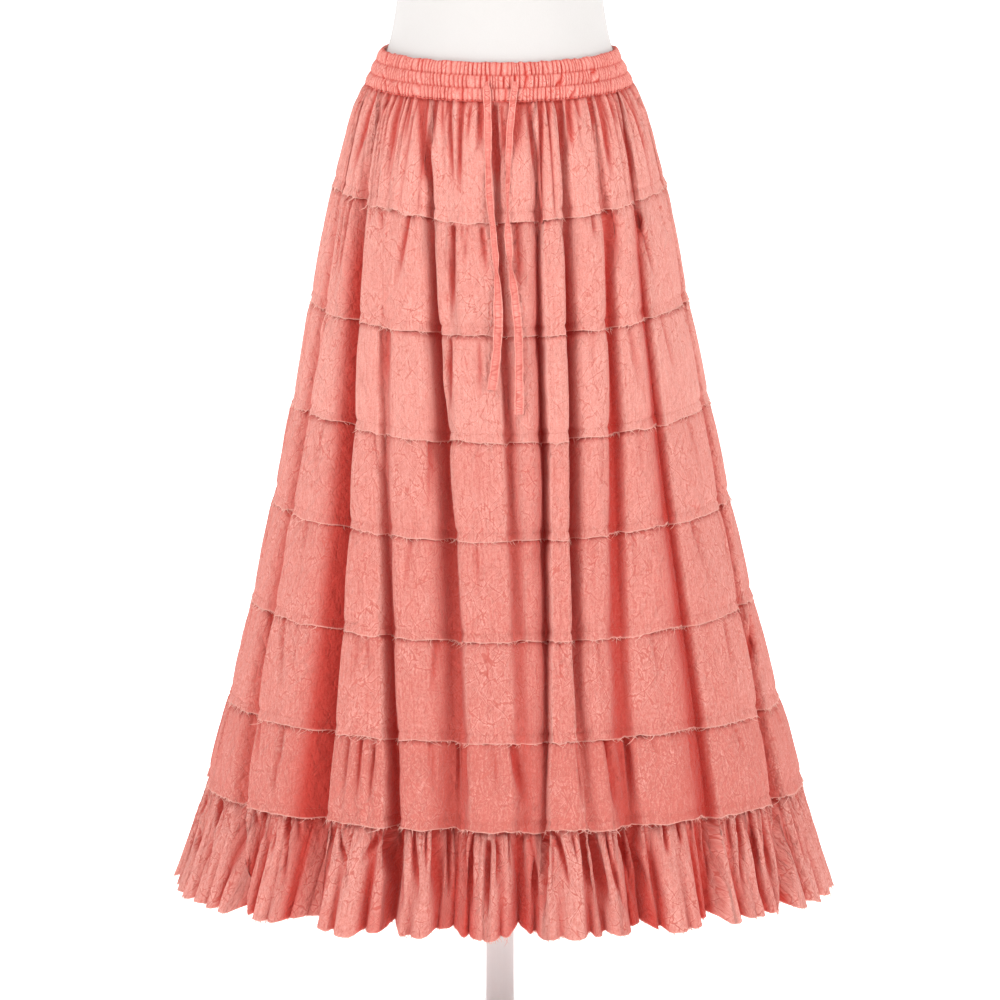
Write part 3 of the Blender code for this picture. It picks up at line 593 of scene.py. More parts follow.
def voile(name, dark, light, edge, bump):
    """Crinkled cotton voile. Upright streaks, a fine crinkle, threads and nets of slanting creases that
    come and go stand in the bump and in the colour; in the colour the crinkle and the creases are painted
    shade and highlight. The marks tone, crisp, deep and raw say how light the colour is, with light
    and shade painted per tier and a painted highlight along the troughs' brinks, how strong the painted
    crease shading is, how much shade is painted where the cloth lies deep in a fold or under a lap, and where
    its edge is frayed."""
    material, shader, add = new_material(name)
    pattern = add("UVMap", {"uv_map": "pattern"}).outputs[0]

    def noise(scale, detail, rough=0.55):
        mapped = add("Mapping", Vector=pattern, Scale=(*scale, 1)).outputs[0]
        inputs = {"Vector": mapped, "Scale": 1.0, "Detail": detail, "Roughness": rough}
        return add("TexNoise", {"noise_dimensions": "2D"}, **inputs).outputs[0]

    def mark(which):
        return add("Attribute", {"attribute_name": which}).outputs["Fac"]

    streaks = noise((420, 36), 3.0)
    crinkle = noise((420, 280), 4.0, 0.65)
    broad = noise((26, 9), 2.0)
    threads = noise((900, 800), 1.0)
    whorls = add("Math", {"operation": "SINE"}, _0=product(add, noise((46, 34), 2.0), 95.0)).outputs[0]
    # Thin winding lines, 1 where a smooth field crosses its middle and 0 off it.
    off_middle = add("Math", {"operation": "ABSOLUTE"}, _0=plus(add, noise((80, 44), 1.0), -0.5)).outputs[0]
    winding = ranged(add, off_middle, 0.0, 0.02, 1.0, 0.0, "SMOOTHSTEP")
    slant_one, facet_one = crease_lines(add, pattern, -38, (0.012, 0.040), 3.1, 0.045)
    slant_two, facet_two = crease_lines(add, pattern, 30, (0.014, 0.046), 7.7, 0.04)
    upright, _ = crease_lines(add, pattern, 3, (0.010, 0.08), 1.3, 0.05)
    seen = ranged(add, noise((11, 14), 1.5), 0.3, 0.6)
    slants = product(add, plus(add, slant_one, slant_two), seen)
    height = summed(
        add, 0.0, (streaks, 0.7), (crinkle, 1.2), (broad, 0.8), (slants, 0.1), (facet_one, 2.2),
        (facet_two, 2.2), (winding, -0.06), (whorls, 0.05), (threads, 0.2), (upright, 0.08),
    )  # fmt: skip
    # The tone holds the dye's streaks, threads and blotches, the tone mark, and painted shade along the
    # upright creases.
    tone = summed(
        add, -0.95, (streaks, 0.7), (mark("tone"), 1.0), (threads, 0.7), (broad, 0.15), (whorls, 0.04),
        (upright, 0.3),
    )  # fmt: skip
    # Painted shade and highlight of the crinkle and the creases, laid into the colour as strongly as the
    # crisp mark says.
    painted_crease_shade = summed(add, -0.5, (crinkle, 1.0), (slants, 1.0), (winding, -0.09))
    tone = plus(add, tone, product(add, painted_crease_shade, mark("crisp")), 1.2)
    deep = mark("deep")
    uneven = plus(add, 0.7, crinkle, 0.6)
    colour = blended(add, tone, dark, light)
    # Painted shade in folds and under laps: the colour goes towards the fold-shade red by the deep mark.
    colour = blended(add, product(add, deep, uneven, clamped=True), colour, CLOTH_FOLD_SHADE)
    add(
        shader,
        Base_Color=blended(add, mark("raw"), colour, edge),
        Normal=add("Bump", Height=height, Strength=bump, Distance=0.002).outputs[0],
        Emission_Color=(1.0, 0.07, 0.05, 1),  # painted red glow, as strong as the painted fold shade, for light coming through the cloth
        Emission_Strength=product(add, deep, 0.065),
        Roughness=0.92,
        Specular_IOR_Level=0.15,
        Sheen_Weight=0.18,
        Sheen_Roughness=0.45,
        Sheen_Tint=(1.0, 0.80, 0.74, 1),
    )
    return material


def solid_noise(add, scale, detail=2.0):
    """Noise through the piece, by its own coordinates."""
    return add("TexNoise", Vector=add("TexCoord").outputs["Object"], Scale=scale, Detail=detail).outputs[0]


def coated(add, shader, colour, darker, share, height, strength, distance, **gloss):
    """The colour between a darker tone and itself by a socket's value, with a height in the bump."""
    dark = tuple(darker * part for part in colour[:3]) + (1,)
    bumped = add("Bump", Height=height, Strength=strength, Distance=distance).outputs[0]
    add(shader, Base_Color=blended(add, share, dark, colour), Normal=bumped, **gloss)


def plain_thread(name, colour):
    """Cotton thread: one dyed colour with a slow change along the skirt and a fine fuzz in the bump."""
    material, shader, add = new_material(name)
    slow, fuzz = solid_noise(add, 40.0), solid_noise(add, 2500.0, 1.0)
    coated(add, shader, colour, 0.86, slow, fuzz, 0.4, 0.0002, Roughness=0.9, Specular_IOR_Level=0.15)
    return material


def jersey(name, colour):
    """White knit cover: fine upright ribs of the knit and a soft uneven pull."""
    material, shader, add = new_material(name)
    place = add("Mapping", Vector=add("TexCoord").outputs["Object"], Scale=(900, 900, 500)).outputs[0]
    knit = add("TexNoise", Vector=place, Scale=1.0).outputs[0]
    height = plus(add, knit, solid_noise(add, 14.0, 3.0), 2.0)
    gloss = {"Roughness": 0.85, "Specular_IOR_Level": 0.2, "Sheen_Weight": 0.2}
    coated(add, shader, colour, 0.96, knit, height, 0.25, 0.0006, **gloss)
    return material


def satin_paint(name, colour, roughness, grain):
    """Paint or plastic with a faint orange-peel skin and small changes of gloss."""
    material, shader, add = new_material(name)
    slow = solid_noise(add, 9.0, 4.0)
    gloss = plus(add, roughness - 0.06, slow, 0.12)
    coated(add, shader, colour, 0.95, slow, solid_noise(add, grain), 0.15, 0.0003, Roughness=gloss)
    return material


CLOTH_DARK, CLOTH_LIGHT, CLOTH_EDGE = (0.69, 0.178, 0.142, 1), (0.89, 0.415, 0.355, 1), (0.92, 0.45, 0.38, 1)
CLOTH_FOLD_SHADE = (0.55, 0.057, 0.042, 1)  # painted shade: the colour at the bottom of a deep fold
CLOTH = voile("crinkled voile", CLOTH_DARK, CLOTH_LIGHT, CLOTH_EDGE, 0.9)
BAND_CLOTH = voile("shirred voile", CLOTH_DARK, CLOTH_LIGHT, CLOTH_EDGE, 0.5)
TAPE = voile("tie tape", (0.60, 0.160, 0.130, 1), (0.88, 0.370, 0.315, 1), CLOTH_EDGE, 0.5)
EDGE_THREAD = plain_thread("raw edge threads", (0.97, 0.52, 0.44, 1))
SEWING = plain_thread("sewing thread", (0.70, 0.19, 0.15, 1))
# Thread coloured near black-red to stand for the shade in the puckers under the band.
PUCKER_SHADE_SEWING = plain_thread("sewing thread painted dark for pucker shade", (0.34, 0.045, 0.035, 1))

# ---------------------------------------------------------------- the tie ends

TIE_WIDTH, TIE_THICK = 0.0105, 0.0009
TIE_ROUTES = {  # how far right of the middle, the height on the outline table and how far off it, in mm
    "tie_left": (
        (-13.4, 1067, 1.2), (-12.8, 1050, 1.3), (-12.3, 1023, 1.4), (-11.8, 993, 1.6), (-10.3, 962, 2.0),
        (-7.2, 935, 3.0), (-4.1, 904, 2.0), (-2.1, 866, 1.8), (-2.1, 829, 2.8), (-4.1, 799, 2.4),
        (-8.2, 768, 2.0),
    ),
    "tie_right": (
        (15.4, 1067, 1.2), (13.4, 1050, 1.3), (10.3, 1023, 1.4), (8.2, 993, 1.6), (7.2, 962, 2.0),
        (8.2, 930, 3.0), (11.3, 895, 2.0), (15.4, 861, 1.8), (18.5, 824, 2.8), (19.5, 784, 2.4),
        (19.5, 743, 2.0),
    ),
}  # fmt: skip
TIE_STEPS = 24  # rings of tape between one point of a route and the next
TIE_SHAPES = {  # share of the way down, share of the full width, and how far it is turned, in degrees
    "tie_left": (
        (0, 0.5, 40), (0.06, 0.8, 15), (0.2, 0.75, -20), (0.3, 0.66, 28), (0.38, 0.74, 6), (0.48, 0.66, -30),
        (0.56, 0.7, 20), (0.64, 0.62, 40), (0.72, 0.92, 5), (0.85, 0.9, -12), (1, 1, 6),
    ),
    "tie_right": (
        (0, 0.5, -40), (0.06, 0.7, -8), (0.18, 0.72, 20), (0.26, 0.66, -8), (0.36, 0.5, -30),
        (0.44, 0.34, -62), (0.5, 0.8, 8), (0.555, 0.76, 0), (0.59, 0.3, 62), (0.64, 0.82, 14),
        (0.78, 0.85, -16), (0.9, 0.88, 8), (1, 0.92, -5),
    ),
}  # fmt: skip
TIE_SIDES = 24  # points round the tape's section
TIE_STAND_OFF = 0.0006  # how much further off the outline the tape hangs than its route says
TIE_JOINS = {"tie_left": (0.39,), "tie_right": (0.25,)}  # where a tie's lengths are sewn end to end


def smooth_route(points, steps):
    """More points on a smooth curve through a route: on each stretch, the Catmull-Rom cubic."""
    points = np.array(points, float)
    before = np.vstack([2 * points[0] - points[1], points[:-1]])
    after = np.vstack([points[1:], 2 * points[-1] - points[-2]])
    slope = (after - before) / 2
    share = (np.arange(steps) / steps)[None, :, None]
    start, end = points[:-1, None], points[1:, None]
    leave, arrive = slope[:-1, None], slope[1:, None]
    cubic = 2 * start - 2 * end + leave + arrive
    square = 3 * end - 3 * start - 2 * leave - arrive
    curve = ((cubic * share + square) * share + leave) * share + start
    return np.vstack([curve.reshape(-1, 3), points[-1]])


def tie(name):
    """A flat tape swept along its route. Its section is a flattened ring with thicker folded edges, cupped
    a little across, and it turns and narrows along its length by the table of shapes."""
    right, level, off = np.array(TIE_ROUTES[name]).T * MM
    angle = np.arcsin((right - ring_at("right_shift", level)) / ring_at("half_width", level))
    route = smooth_route(oval(angle, level, off + TIE_STAND_OFF), TIE_STEPS)
    along = np.gradient(route, axis=0)
    along /= np.linalg.norm(along, axis=1, keepdims=True)
    out = np.cross(along, [1.0, 0.0, 0.0])
    out /= np.linalg.norm(out, axis=1, keepdims=True)
    out *= np.sign(-out[:, 1:2])
    side = np.cross(out, along)
    share = np.linspace(0, 1, len(route))
    at, narrow, turned = np.array(TIE_SHAPES[name]).T
    width = TIE_WIDTH * np.interp(share, at, narrow)
    width = width * (1 + 0.07 * np.sin(57 * share) * np.sin(23 * share + 1))
    turn = np.radians(np.interp(share, at, turned) + 9 * np.sin(71 * share))[:, None]
    side, out = side * np.cos(turn) + out * np.sin(turn), out * np.cos(turn) - side * np.sin(turn)
    section = np.linspace(0, TURN, TIE_SIDES, endpoint=False)
    across = np.sign(np.cos(section)) * np.abs(np.cos(section)) ** 0.6
    thick = np.sin(section) * (0.7 + 0.5 * bell((np.abs(across) - 0.8) / 0.15))
    cup = 0.09 * across**2
    wave = 0.05 * np.sin(90 * share[:, None] + 2 * across) + 0.03 * np.sin(205 * share[:, None] - 3 * across)
    x = across[None, :] * width[:, None] / 2
    y = thick * TIE_THICK / 2 + (cup + wave) * width[:, None]
    fold = bell((across - 0.55) / 0.12) + bell((across + 0.62) / 0.12)
    y = y - 0.22 * MM * fold * (np.sin(section) > 0)
    join = sum(bell((share - at) / 0.004) for at in TIE_JOINS[name])[:, None]
    y = y + 0.5 * MM * join * np.sign(np.sin(section))
    points = route[:, None] + side[:, None] * x[..., None] + out[:, None] * y[..., None]
    run = np.concatenate([[0], np.cumsum(np.linalg.norm(np.diff(route, axis=0), axis=1))])
    round_section = 0.3 + 0.01 * np.arange(TIE_SIDES + 1)[None, :] / TIE_SIDES
    pattern = np.stack(np.broadcast_arrays(round_section, run[:, None]), axis=-1)
    # Painted shade along the tape's folded edges, where it is turned and at its sewn joins, carried in the
    # deep mark.
    shade = np.clip(0.5 * fold + 0.3 * np.abs(np.sin(turn)) + 0.3 * join, 0, 1)
    marks = {"raw": 0.35 * (np.abs(across) > 0.8), "deep": shade[::-1], "tone": 0.55, "crisp": 1.0}
    tape = grid_piece(f"{name}_tape", points[::-1], TAPE, pattern[::-1], marks)
    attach(tape, "root")
    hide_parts(name)


for tie_name in TIE_ROUTES:
    tie(tie_name)

# ---------------------------------------------------------------- the cloth rings


def columns_of(sizes, total):
    """Columns round the skirt: each pipe or wave gets its share of the total by its width, and they
    crowd towards the troughs."""
    steps = np.maximum(8, np.round(total * sizes / sizes.sum())).astype(int)
    columns = []
    for number, count in enumerate(steps):
        share = np.arange(count) / count
        columns.append(number + rolled(share, 0.55))
    return np.concatenate(columns)


def rows_between(bottom, top, count, crowd):
    """Levels from bottom to top, closer together at both ends by the crowding share."""
    share = np.linspace(0, 1, count)
    share = share - crowd * np.sin(TURN * share) / TURN
    return (bottom + (top - bottom) * share)[:, None]


def gathers(turn, below, number, length, seed):
    """Gathers under a line of stitching: so many round ridges with sharp furrows between them, as 1 minus
    the sine's size to the power 0.42. Each furrow has its own depth and its own reach, and fades out below
    as an exponential; the ridges wander a little, so that they aren't all of one width."""
    wander = 1.3 * ring_noise(turn, max(number // 3, 3), seed)
    phase = number * turn + wander * (1 + 0.4 * below / length)
    furrow = 1 - np.abs(np.sin(np.pi * phase)) ** 0.42
    rng = np.random.default_rng(seed + 1)
    which = np.floor(phase + 0.5).astype(int) % number
    strength, reach = rng.uniform(0.3, 1.0, number)[which], rng.gamma(1.6, length / 1.6, number)[which]
    return furrow * strength * np.exp(-np.maximum(below, 0) / (reach + length / 4))


def gathered(turn, below, kinds):
    """Gathers of several kinds together, in millimetres: for each its depth, how many round the skirt,
    the length they reach down, in metres, and its seed."""
    return sum(depth * gathers(turn, below, number, length, seed) for depth, number, length, seed in kinds)


def hidden_furrows(number):
    """Rows like the table's for the sides and the back, from seeded numbers."""
    rng = np.random.default_rng(7000 + number)
    count = HIDDEN_FURROWS[number - 1]
    rows = []
    for place in np.linspace(80, 280, count) + rng.uniform(-2, 2, count):
        start, high, end, low, width, depth = FURROWS[number][rng.integers(len(FURROWS[number]))]
        rows.append((place, high, place + min(max(end - start, -5), 5) * 0.5, low, width, depth))
    return rows


def furrowed(number, angle, level, share):
    """How deep the furrows of a tier are at each point: across each a bell with steep sides and
    a low ridge along both edges, and along it a quick start and a slow end."""
    degree = degree_at(angle, level) / MM
    total = np.zeros(np.broadcast(angle, share).shape)
    for start, high, end, low, width, depth in (*FURROWS[number], *hidden_furrows(number)):
        along = np.clip((share - high) / (low - high), 0, 1)
        distance = ((angle - start - (end - start) * along + 180) % 360 - 180) * degree
        across = np.abs(distance) / (width * (1 + 0.5 * along))
        profile = np.exp(-(across**1.7)) - 0.22 * bell((across - 1.9) / 0.7)
        start_ease = smooth_step((share - high + 0.04) / 0.06)
        end_ease = smooth_step((low - share) / (low - high) / 0.75)
        total = total + depth * MM * profile * start_ease * end_ease
    return total


CREASE_NETS = (  # cells round and up, slant, and a crease's width in the field and its depth in millimetres
    (46, 7, 0.25, 0.14, 0.35), (52, 9, -0.33, 0.14, 0.35), (120, 6, 0.05, 0.3, 0.3), (90, 22, 0.5, 0.16, 0.3),
)  # fmt: skip


def creases(turn, level, tier):
    """Soft creases over a tier, in metres: the zero lines of stretched random fields, slanting both ways
    and upright, each net fading in and out, and a soft unevenness of about a millimetre."""
    height = (level - LEVEL["hem"]) / (LEVEL["band_bottom"] - LEVEL["hem"])
    total = 0.0
    for number, (cells, rows, slant, width, depth) in enumerate(CREASE_NETS):
        seed = 100 * tier + number
        field = lattice_noise(turn + slant * height, height, cells, rows, seed)
        shown = smooth_step(0.5 + lattice_noise(turn, height, 23, 9, seed + 50))
        total = total + depth * MM * shown * bell(field / width)
    soft = lattice_noise(turn, height, 64, 4, 100 * tier + 20)
    soft = soft + 0.6 * lattice_noise(turn, height, 130, 7, 100 * tier + 21)
    return total + 1.0 * MM * soft


def edge_jitter(turn, seed):
    """How far a raw edge hangs down or is drawn up, in metres: slow waves, and short ones that come in
    steps where the gathers below hold it."""
    slow = ring_noise(turn, 41, seed)
    short = ring_noise(turn, 150, seed + 1)
    fine = ring_noise(turn, 420, seed + 2)
    return (1.6 * slow + 1.0 * np.clip(2 * short, -1, 1) + 0.8 * fine) * MM


def fold_shade_share(dark, drawn_in, full=5.0):
    """How much painted fold shade shows, from 0 to 1: the trough's own painted shade, and in furrows their
    depth's share of the full millimetres past the first 0.3."""
    return 1 - (1 - dark) * (1 - 0.85 * smooth_step((drawn_in / MM - 0.3) / full))


def painted_shadow_under_lap(deep, below_top):
    """The same painted shade with a painted shadow line on the cloth right under the lap above it."""
    return 1 - (1 - deep) * (1 - 0.5 * bell(np.maximum(below_top - 0.0012, 0) / 0.0022))


FORM_TOP_RING = 9  # the form's rings up to the waistband's top
PAST_FORM = 1.018  # how far out cloth stays, as a share of the form's oval at its height


def clear_of_form(points):
    """Moves cloth that would cut the form out to 1.8% past its oval at that height. Cloth below the form
    counts as far off it."""
    rings = np.array(TORSO_RINGS)[:FORM_TOP_RING]
    wide = np.interp(points[..., 2], rings[:, 0], rings[:, 1])
    deep = np.interp(points[..., 2], rings[:, 0], rings[:, 2])
    reach = np.hypot(points[..., 0] / wide, points[..., 1] / deep)
    reach = np.where(points[..., 2] > 0.74, reach, 9.0)
    points[..., :2] *= (np.maximum(reach, PAST_FORM) / reach)[..., None]
    return points


def with_edge_row(level):
    """The same levels with one more row close above the raw edge, so that its worn line stays thin."""
    return np.insert(level, 1, level[0] + 0.0009, axis=0)


def finish_ring(name, points, level, deep, tone, crisp):
    run = along_rows(points)
    middle = run[len(run) // 2]
    pattern = np.stack(np.broadcast_arrays(middle[None, :], level[:, :1]), axis=-1)
    raw = np.clip(1 - np.arange(len(points)) / 1.2, 0, 1)[:, None]
    # Painted shade goes into the deep mark; the painted brink highlight, where the shade is below 0, lightens
    # the tone.
    marks = {"raw": raw, "deep": np.maximum(deep, 0), "tone": tone - np.minimum(deep, 0), "crisp": crisp}
    ring = grid_piece(f"{name}_cloth", points, CLOTH, pattern, marks)
    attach(ring, "root")
    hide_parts(name)


STRAND_PITCH = 0.0026  # one frayed end for each of these lengths of raw edge


def raw_edge(name, edge, out, seed):
    """The raw edge of a ring: a thin uneven roll of thread along it, and short frayed ends that hang
    down and curl to either side."""
    rng = np.random.default_rng(seed)
    roll, number = wrapped(edge), np.arange(len(edge) + 1)
    length = np.linalg.norm(np.diff(roll, axis=0), axis=1).sum()
    strands = int(length / STRAND_PITCH)
    place = np.sort(rng.uniform(0, len(edge), strands))
    start, away = at_places(place, number, roll), at_places(place, number, wrapped(out))
    turn = np.linspace(0, 1, len(roll))
    roll[:, 2] += 0.45 * MM * ring_noise(turn, 620, seed)
    radius = (0.24 + 0.14 * ring_noise(turn, 900, seed + 1)) * MM
    rolled_edge = tubes(name + "_roll", roll[None], radius[None], (0, 0, 1), 3, EDGE_THREAD)
    tangent = np.stack([-away[:, 1], away[:, 0], 0 * away[:, 0]], axis=-1)
    reach = rng.gamma(3.0, 0.00095, strands)[:, None]
    lean, stand = rng.normal(0, 0.75, strands)[:, None], rng.uniform(0.0, 0.8, strands)[:, None]
    curl = rng.normal(0, 0.9, strands)[:, None]
    steps = np.linspace(0, 1, 3)[None, :, None]
    path = start[:, None] + reach[:, None] * (
        steps * np.array([0, 0, -1.0])
        + (steps * lean[:, None] + steps**2 * curl[:, None]) * tangent[:, None]
        + steps * stand[:, None] * away[:, None]
    )
    thick = rng.uniform(0.22, 0.48, strands)[:, None] * MM * np.array([[1.0, 0.8, 0.15]])
    frayed = tubes(name + "_fray", path, thick, (0.1, 0.2, 1.0), 3, EDGE_THREAD)
    for piece in (rolled_edge, frayed):
        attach(piece, "root")


def stitched(name, line, out, pitch=0.0042, long=0.0026, thick=0.00024, thread=SEWING):
    """A row of machine stitches along a closed line: short spindles of thread just off the cloth, so
    long and so thick as given, one to each pitch, all in metres."""
    line = wrapped(line)
    run = np.concatenate([[0], np.cumsum(np.linalg.norm(np.diff(line, axis=0), axis=1))])
    place = np.arange(0, run[-1] - pitch, pitch)[:, None] + long * np.array([[0, 0.5, 1.0]])
    path, away = at_places(place, run, line), at_places(place, run, wrapped(out))
    path = path + away * np.array([0.05, 0.25, 0.05])[None, :, None] * MM
    radius = np.broadcast_to(np.array([0.25, 1.0, 0.25]) * thick, path.shape[:2])
    piece = tubes(name, path, radius, (0, 0, 1), 3, thread)
    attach(piece, "root")


GATHER_SHARE = (1.0, 0.7, 0.55, 0.55, 0.65, 0.8)  # how strong the gathers at the top of tiers 2 to 7 are
# How light each tier and the ruffle is coloured: light and shade painted for how the light falls down the
# skirt, lighter at the top and darker down to the seventh tier; and how strong the crinkle and crease shading
# painted on each is.
RING_TONE_AND_SHADE = (0.82, 0.74, 0.78, 0.59, 0.50, 0.46, 0.28, 0.68)
RING_CREASE_SHADING = (0.75, 0.7, 0.6, 0.75, 0.95, 1.1, 1.1, 1.2)
TOP_TIER_COLUMNS, TIER_COLUMNS, RUFFLE_COLUMNS = 1400, 1050, 1900
TOP_TIER_ROWS, TIER_ROWS, RUFFLE_ROWS = 36, 32, 36


def ring_rows(cloth, sizes, columns, rows, crowd, bottom, top):
    """A ring of cloth before its details: each row's level, each column's turn round the ring, and at each
    point the angle, the darkness of the dye, the place and the way out."""
    column = columns_of(sizes, columns)[None, :]
    level = with_edge_row(rows_between(bottom, top, rows, crowd))
    turn = np.arange(column.size)[None, :] / column.size
    angle, dip, dark = cloth(column, level)
    points = hung(np.radians(angle), level, dip)
    return level, turn, angle, dark, points, outward(points)


def let_in(below_top):
    """0 where cloth is tucked away behind the lap above it and 1 just below that lap."""
    return smooth_step((below_top + 0.004) / 0.009)


def tier(number):
    """One gathered tier. It starts tucked behind the tier above, puffs out below the stitching, is drawn
    in at its own stitching and ends in a free raw edge that stands off. The first hangs from the waistband
    and has more columns and rows, for its longer and denser gathers."""
    name, first = f"tier_{number}", number == 1
    shown_top = LEVEL["band_bottom"] if first else LEVEL[f"seam_{number - 1}"]
    top = shown_top + (0.003 if first else LAP + TUCK)
    bottom = LEVEL[f"seam_{number}"]
    seam = bottom + LAP
    columns, rows = (TOP_TIER_COLUMNS, TOP_TIER_ROWS) if first else (TIER_COLUMNS, TIER_ROWS)
    level, turn, angle, dark, points, out = ring_rows(
        pipes, widths(FOLD["at_hem"]), columns, rows, 0.5, bottom, top
    )
    above_edge, below_top = level - bottom, shown_top - level
    above_seam = above_edge - LAP
    settled = smooth_step(above_edge / 0.022) * smooth_step(below_top / 0.016)
    puff = 1.4 * np.sin(np.pi * np.clip(below_top / (shown_top - seam), 0, 1)) ** 0.6
    held = 1 + 0.3 * ring_noise(turn, 230, 800 + number)
    drawn = -1.0 * bell(above_seam / 0.0026) * held
    flare = 0.3 + 0.4 * ring_noise(turn, 90, 900 + number)
    flare = flare * np.clip(1 - above_edge / LAP, 0, 1) ** 1.3
    pucker = 0.9 * gathers(turn, np.abs(above_seam), 150 + 12 * number, 0.006, 40 * number)
    if first:
        tucked = -1.6 * np.exp(-below_top / 0.004)
        kinds = (12.0, 118, 0.044, 11), (7.0, 210, 0.018, 12), (2.4, 320, 0.045, 13)
        drawn_in = gathered(turn, below_top, kinds)
    else:
        tucked = -2.5 * (1 - let_in(below_top))
        few = (3.6, 58 + 6 * number, 0.020, 10 * number)
        many = (3.0, 170 + 16 * number, 0.009, 10 * number + 3)
        drawn_in = gathered(turn, below_top, (few, many)) * GATHER_SHARE[number - 2]
        drawn_in = drawn_in * smooth_step((below_top + 0.014) / 0.014)
    drawn_in = (drawn_in + pucker) * MM + furrowed(number, angle, level, below_top / (shown_top - bottom))
    if first:
        room = (5.5 + 130 * np.maximum(below_top, 0)) * MM
        drawn_in = room * np.tanh(drawn_in / room)
    lift = (tucked + puff + drawn + flare) * MM - drawn_in - creases(turn, level, number) * settled
    points = points + out * lift[..., None]
    points[..., 2] += edge_jitter(turn, 300 + number) * np.exp(-above_edge / 0.007)
    # Painted shade in the troughs and furrows, and a painted shadow line right under the lap above.
    deep = painted_shadow_under_lap(fold_shade_share(dark, drawn_in, 4.0 if first else 5.0), below_top)
    tone, crisp = RING_TONE_AND_SHADE[number - 1], RING_CREASE_SHADING[number - 1]
    finish_ring(name, clear_of_form(points), level, deep, tone, crisp)
    raw_edge(f"{name}_edge", points[0], out[0], 500 + number)
    seam_row = int(np.argmin(np.abs(level[:, 0] - seam)))
    stitched(f"{name}_stitching", points[seam_row], out[seam_row])


for tier_number in range(1, 8):
    tier(tier_number)


def ruffle():
    """The hem ruffle: dense gathers under its stitching that run out into the table's waves."""
    shown_top, hem = LEVEL["seam_7"], LEVEL["hem"]
    level, turn, angle, dark, points, out = ring_rows(
        ruffle_cloth, widths(WAVE_PLACE), RUFFLE_COLUMNS, RUFFLE_ROWS, 0.3, hem, shown_top + LAP + TUCK
    )
    above_edge, below_top = level - hem, shown_top - level
    lift = -0.9 * (0.6 + 1.2 * np.exp(-np.maximum(below_top, 0) / 0.03)) * np.clip(above_edge / 0.05, 0, 1)
    lift = lift - 1.7 * (1 - let_in(below_top))
    kinds = (7.0, 130, 0.034, 71), (4.5, 290, 0.015, 73), (3.0, 410, 0.050, 75)
    drawn_in = gathered(turn, below_top, kinds) * smooth_step((below_top + 0.014) / 0.014) * MM
    drawn_in = drawn_in + 1.4 * furrowed(8, angle, level, below_top / (shown_top - hem))
    lift = lift * MM - drawn_in - creases(turn, level, 8) * smooth_step(below_top / 0.016)
    points = points + out * lift[..., None]
    points[..., 2] += edge_jitter(turn, 381) * np.exp(-above_edge / 0.015)
    # Painted shade in the troughs and furrows, and a painted shadow line right under the tier above.
    deep = painted_shadow_under_lap(fold_shade_share(dark, drawn_in), below_top)
    finish_ring("ruffle", points, level, deep, RING_TONE_AND_SHADE[7], RING_CREASE_SHADING[7])
    raw_edge("ruffle_edge", points[0], out[0], 508)


ruffle()

# ---------------------------------------------------------------- the waistband

BAND_THICK = 0.0044
BAND_RIBS = 170
BAND_COLUMNS, BAND_LINES = 1700, 25  # points round the band and up its outer wall
BAND_SEAMS = (8, 16)  # the lines that lie on the elastic between the puffed rows


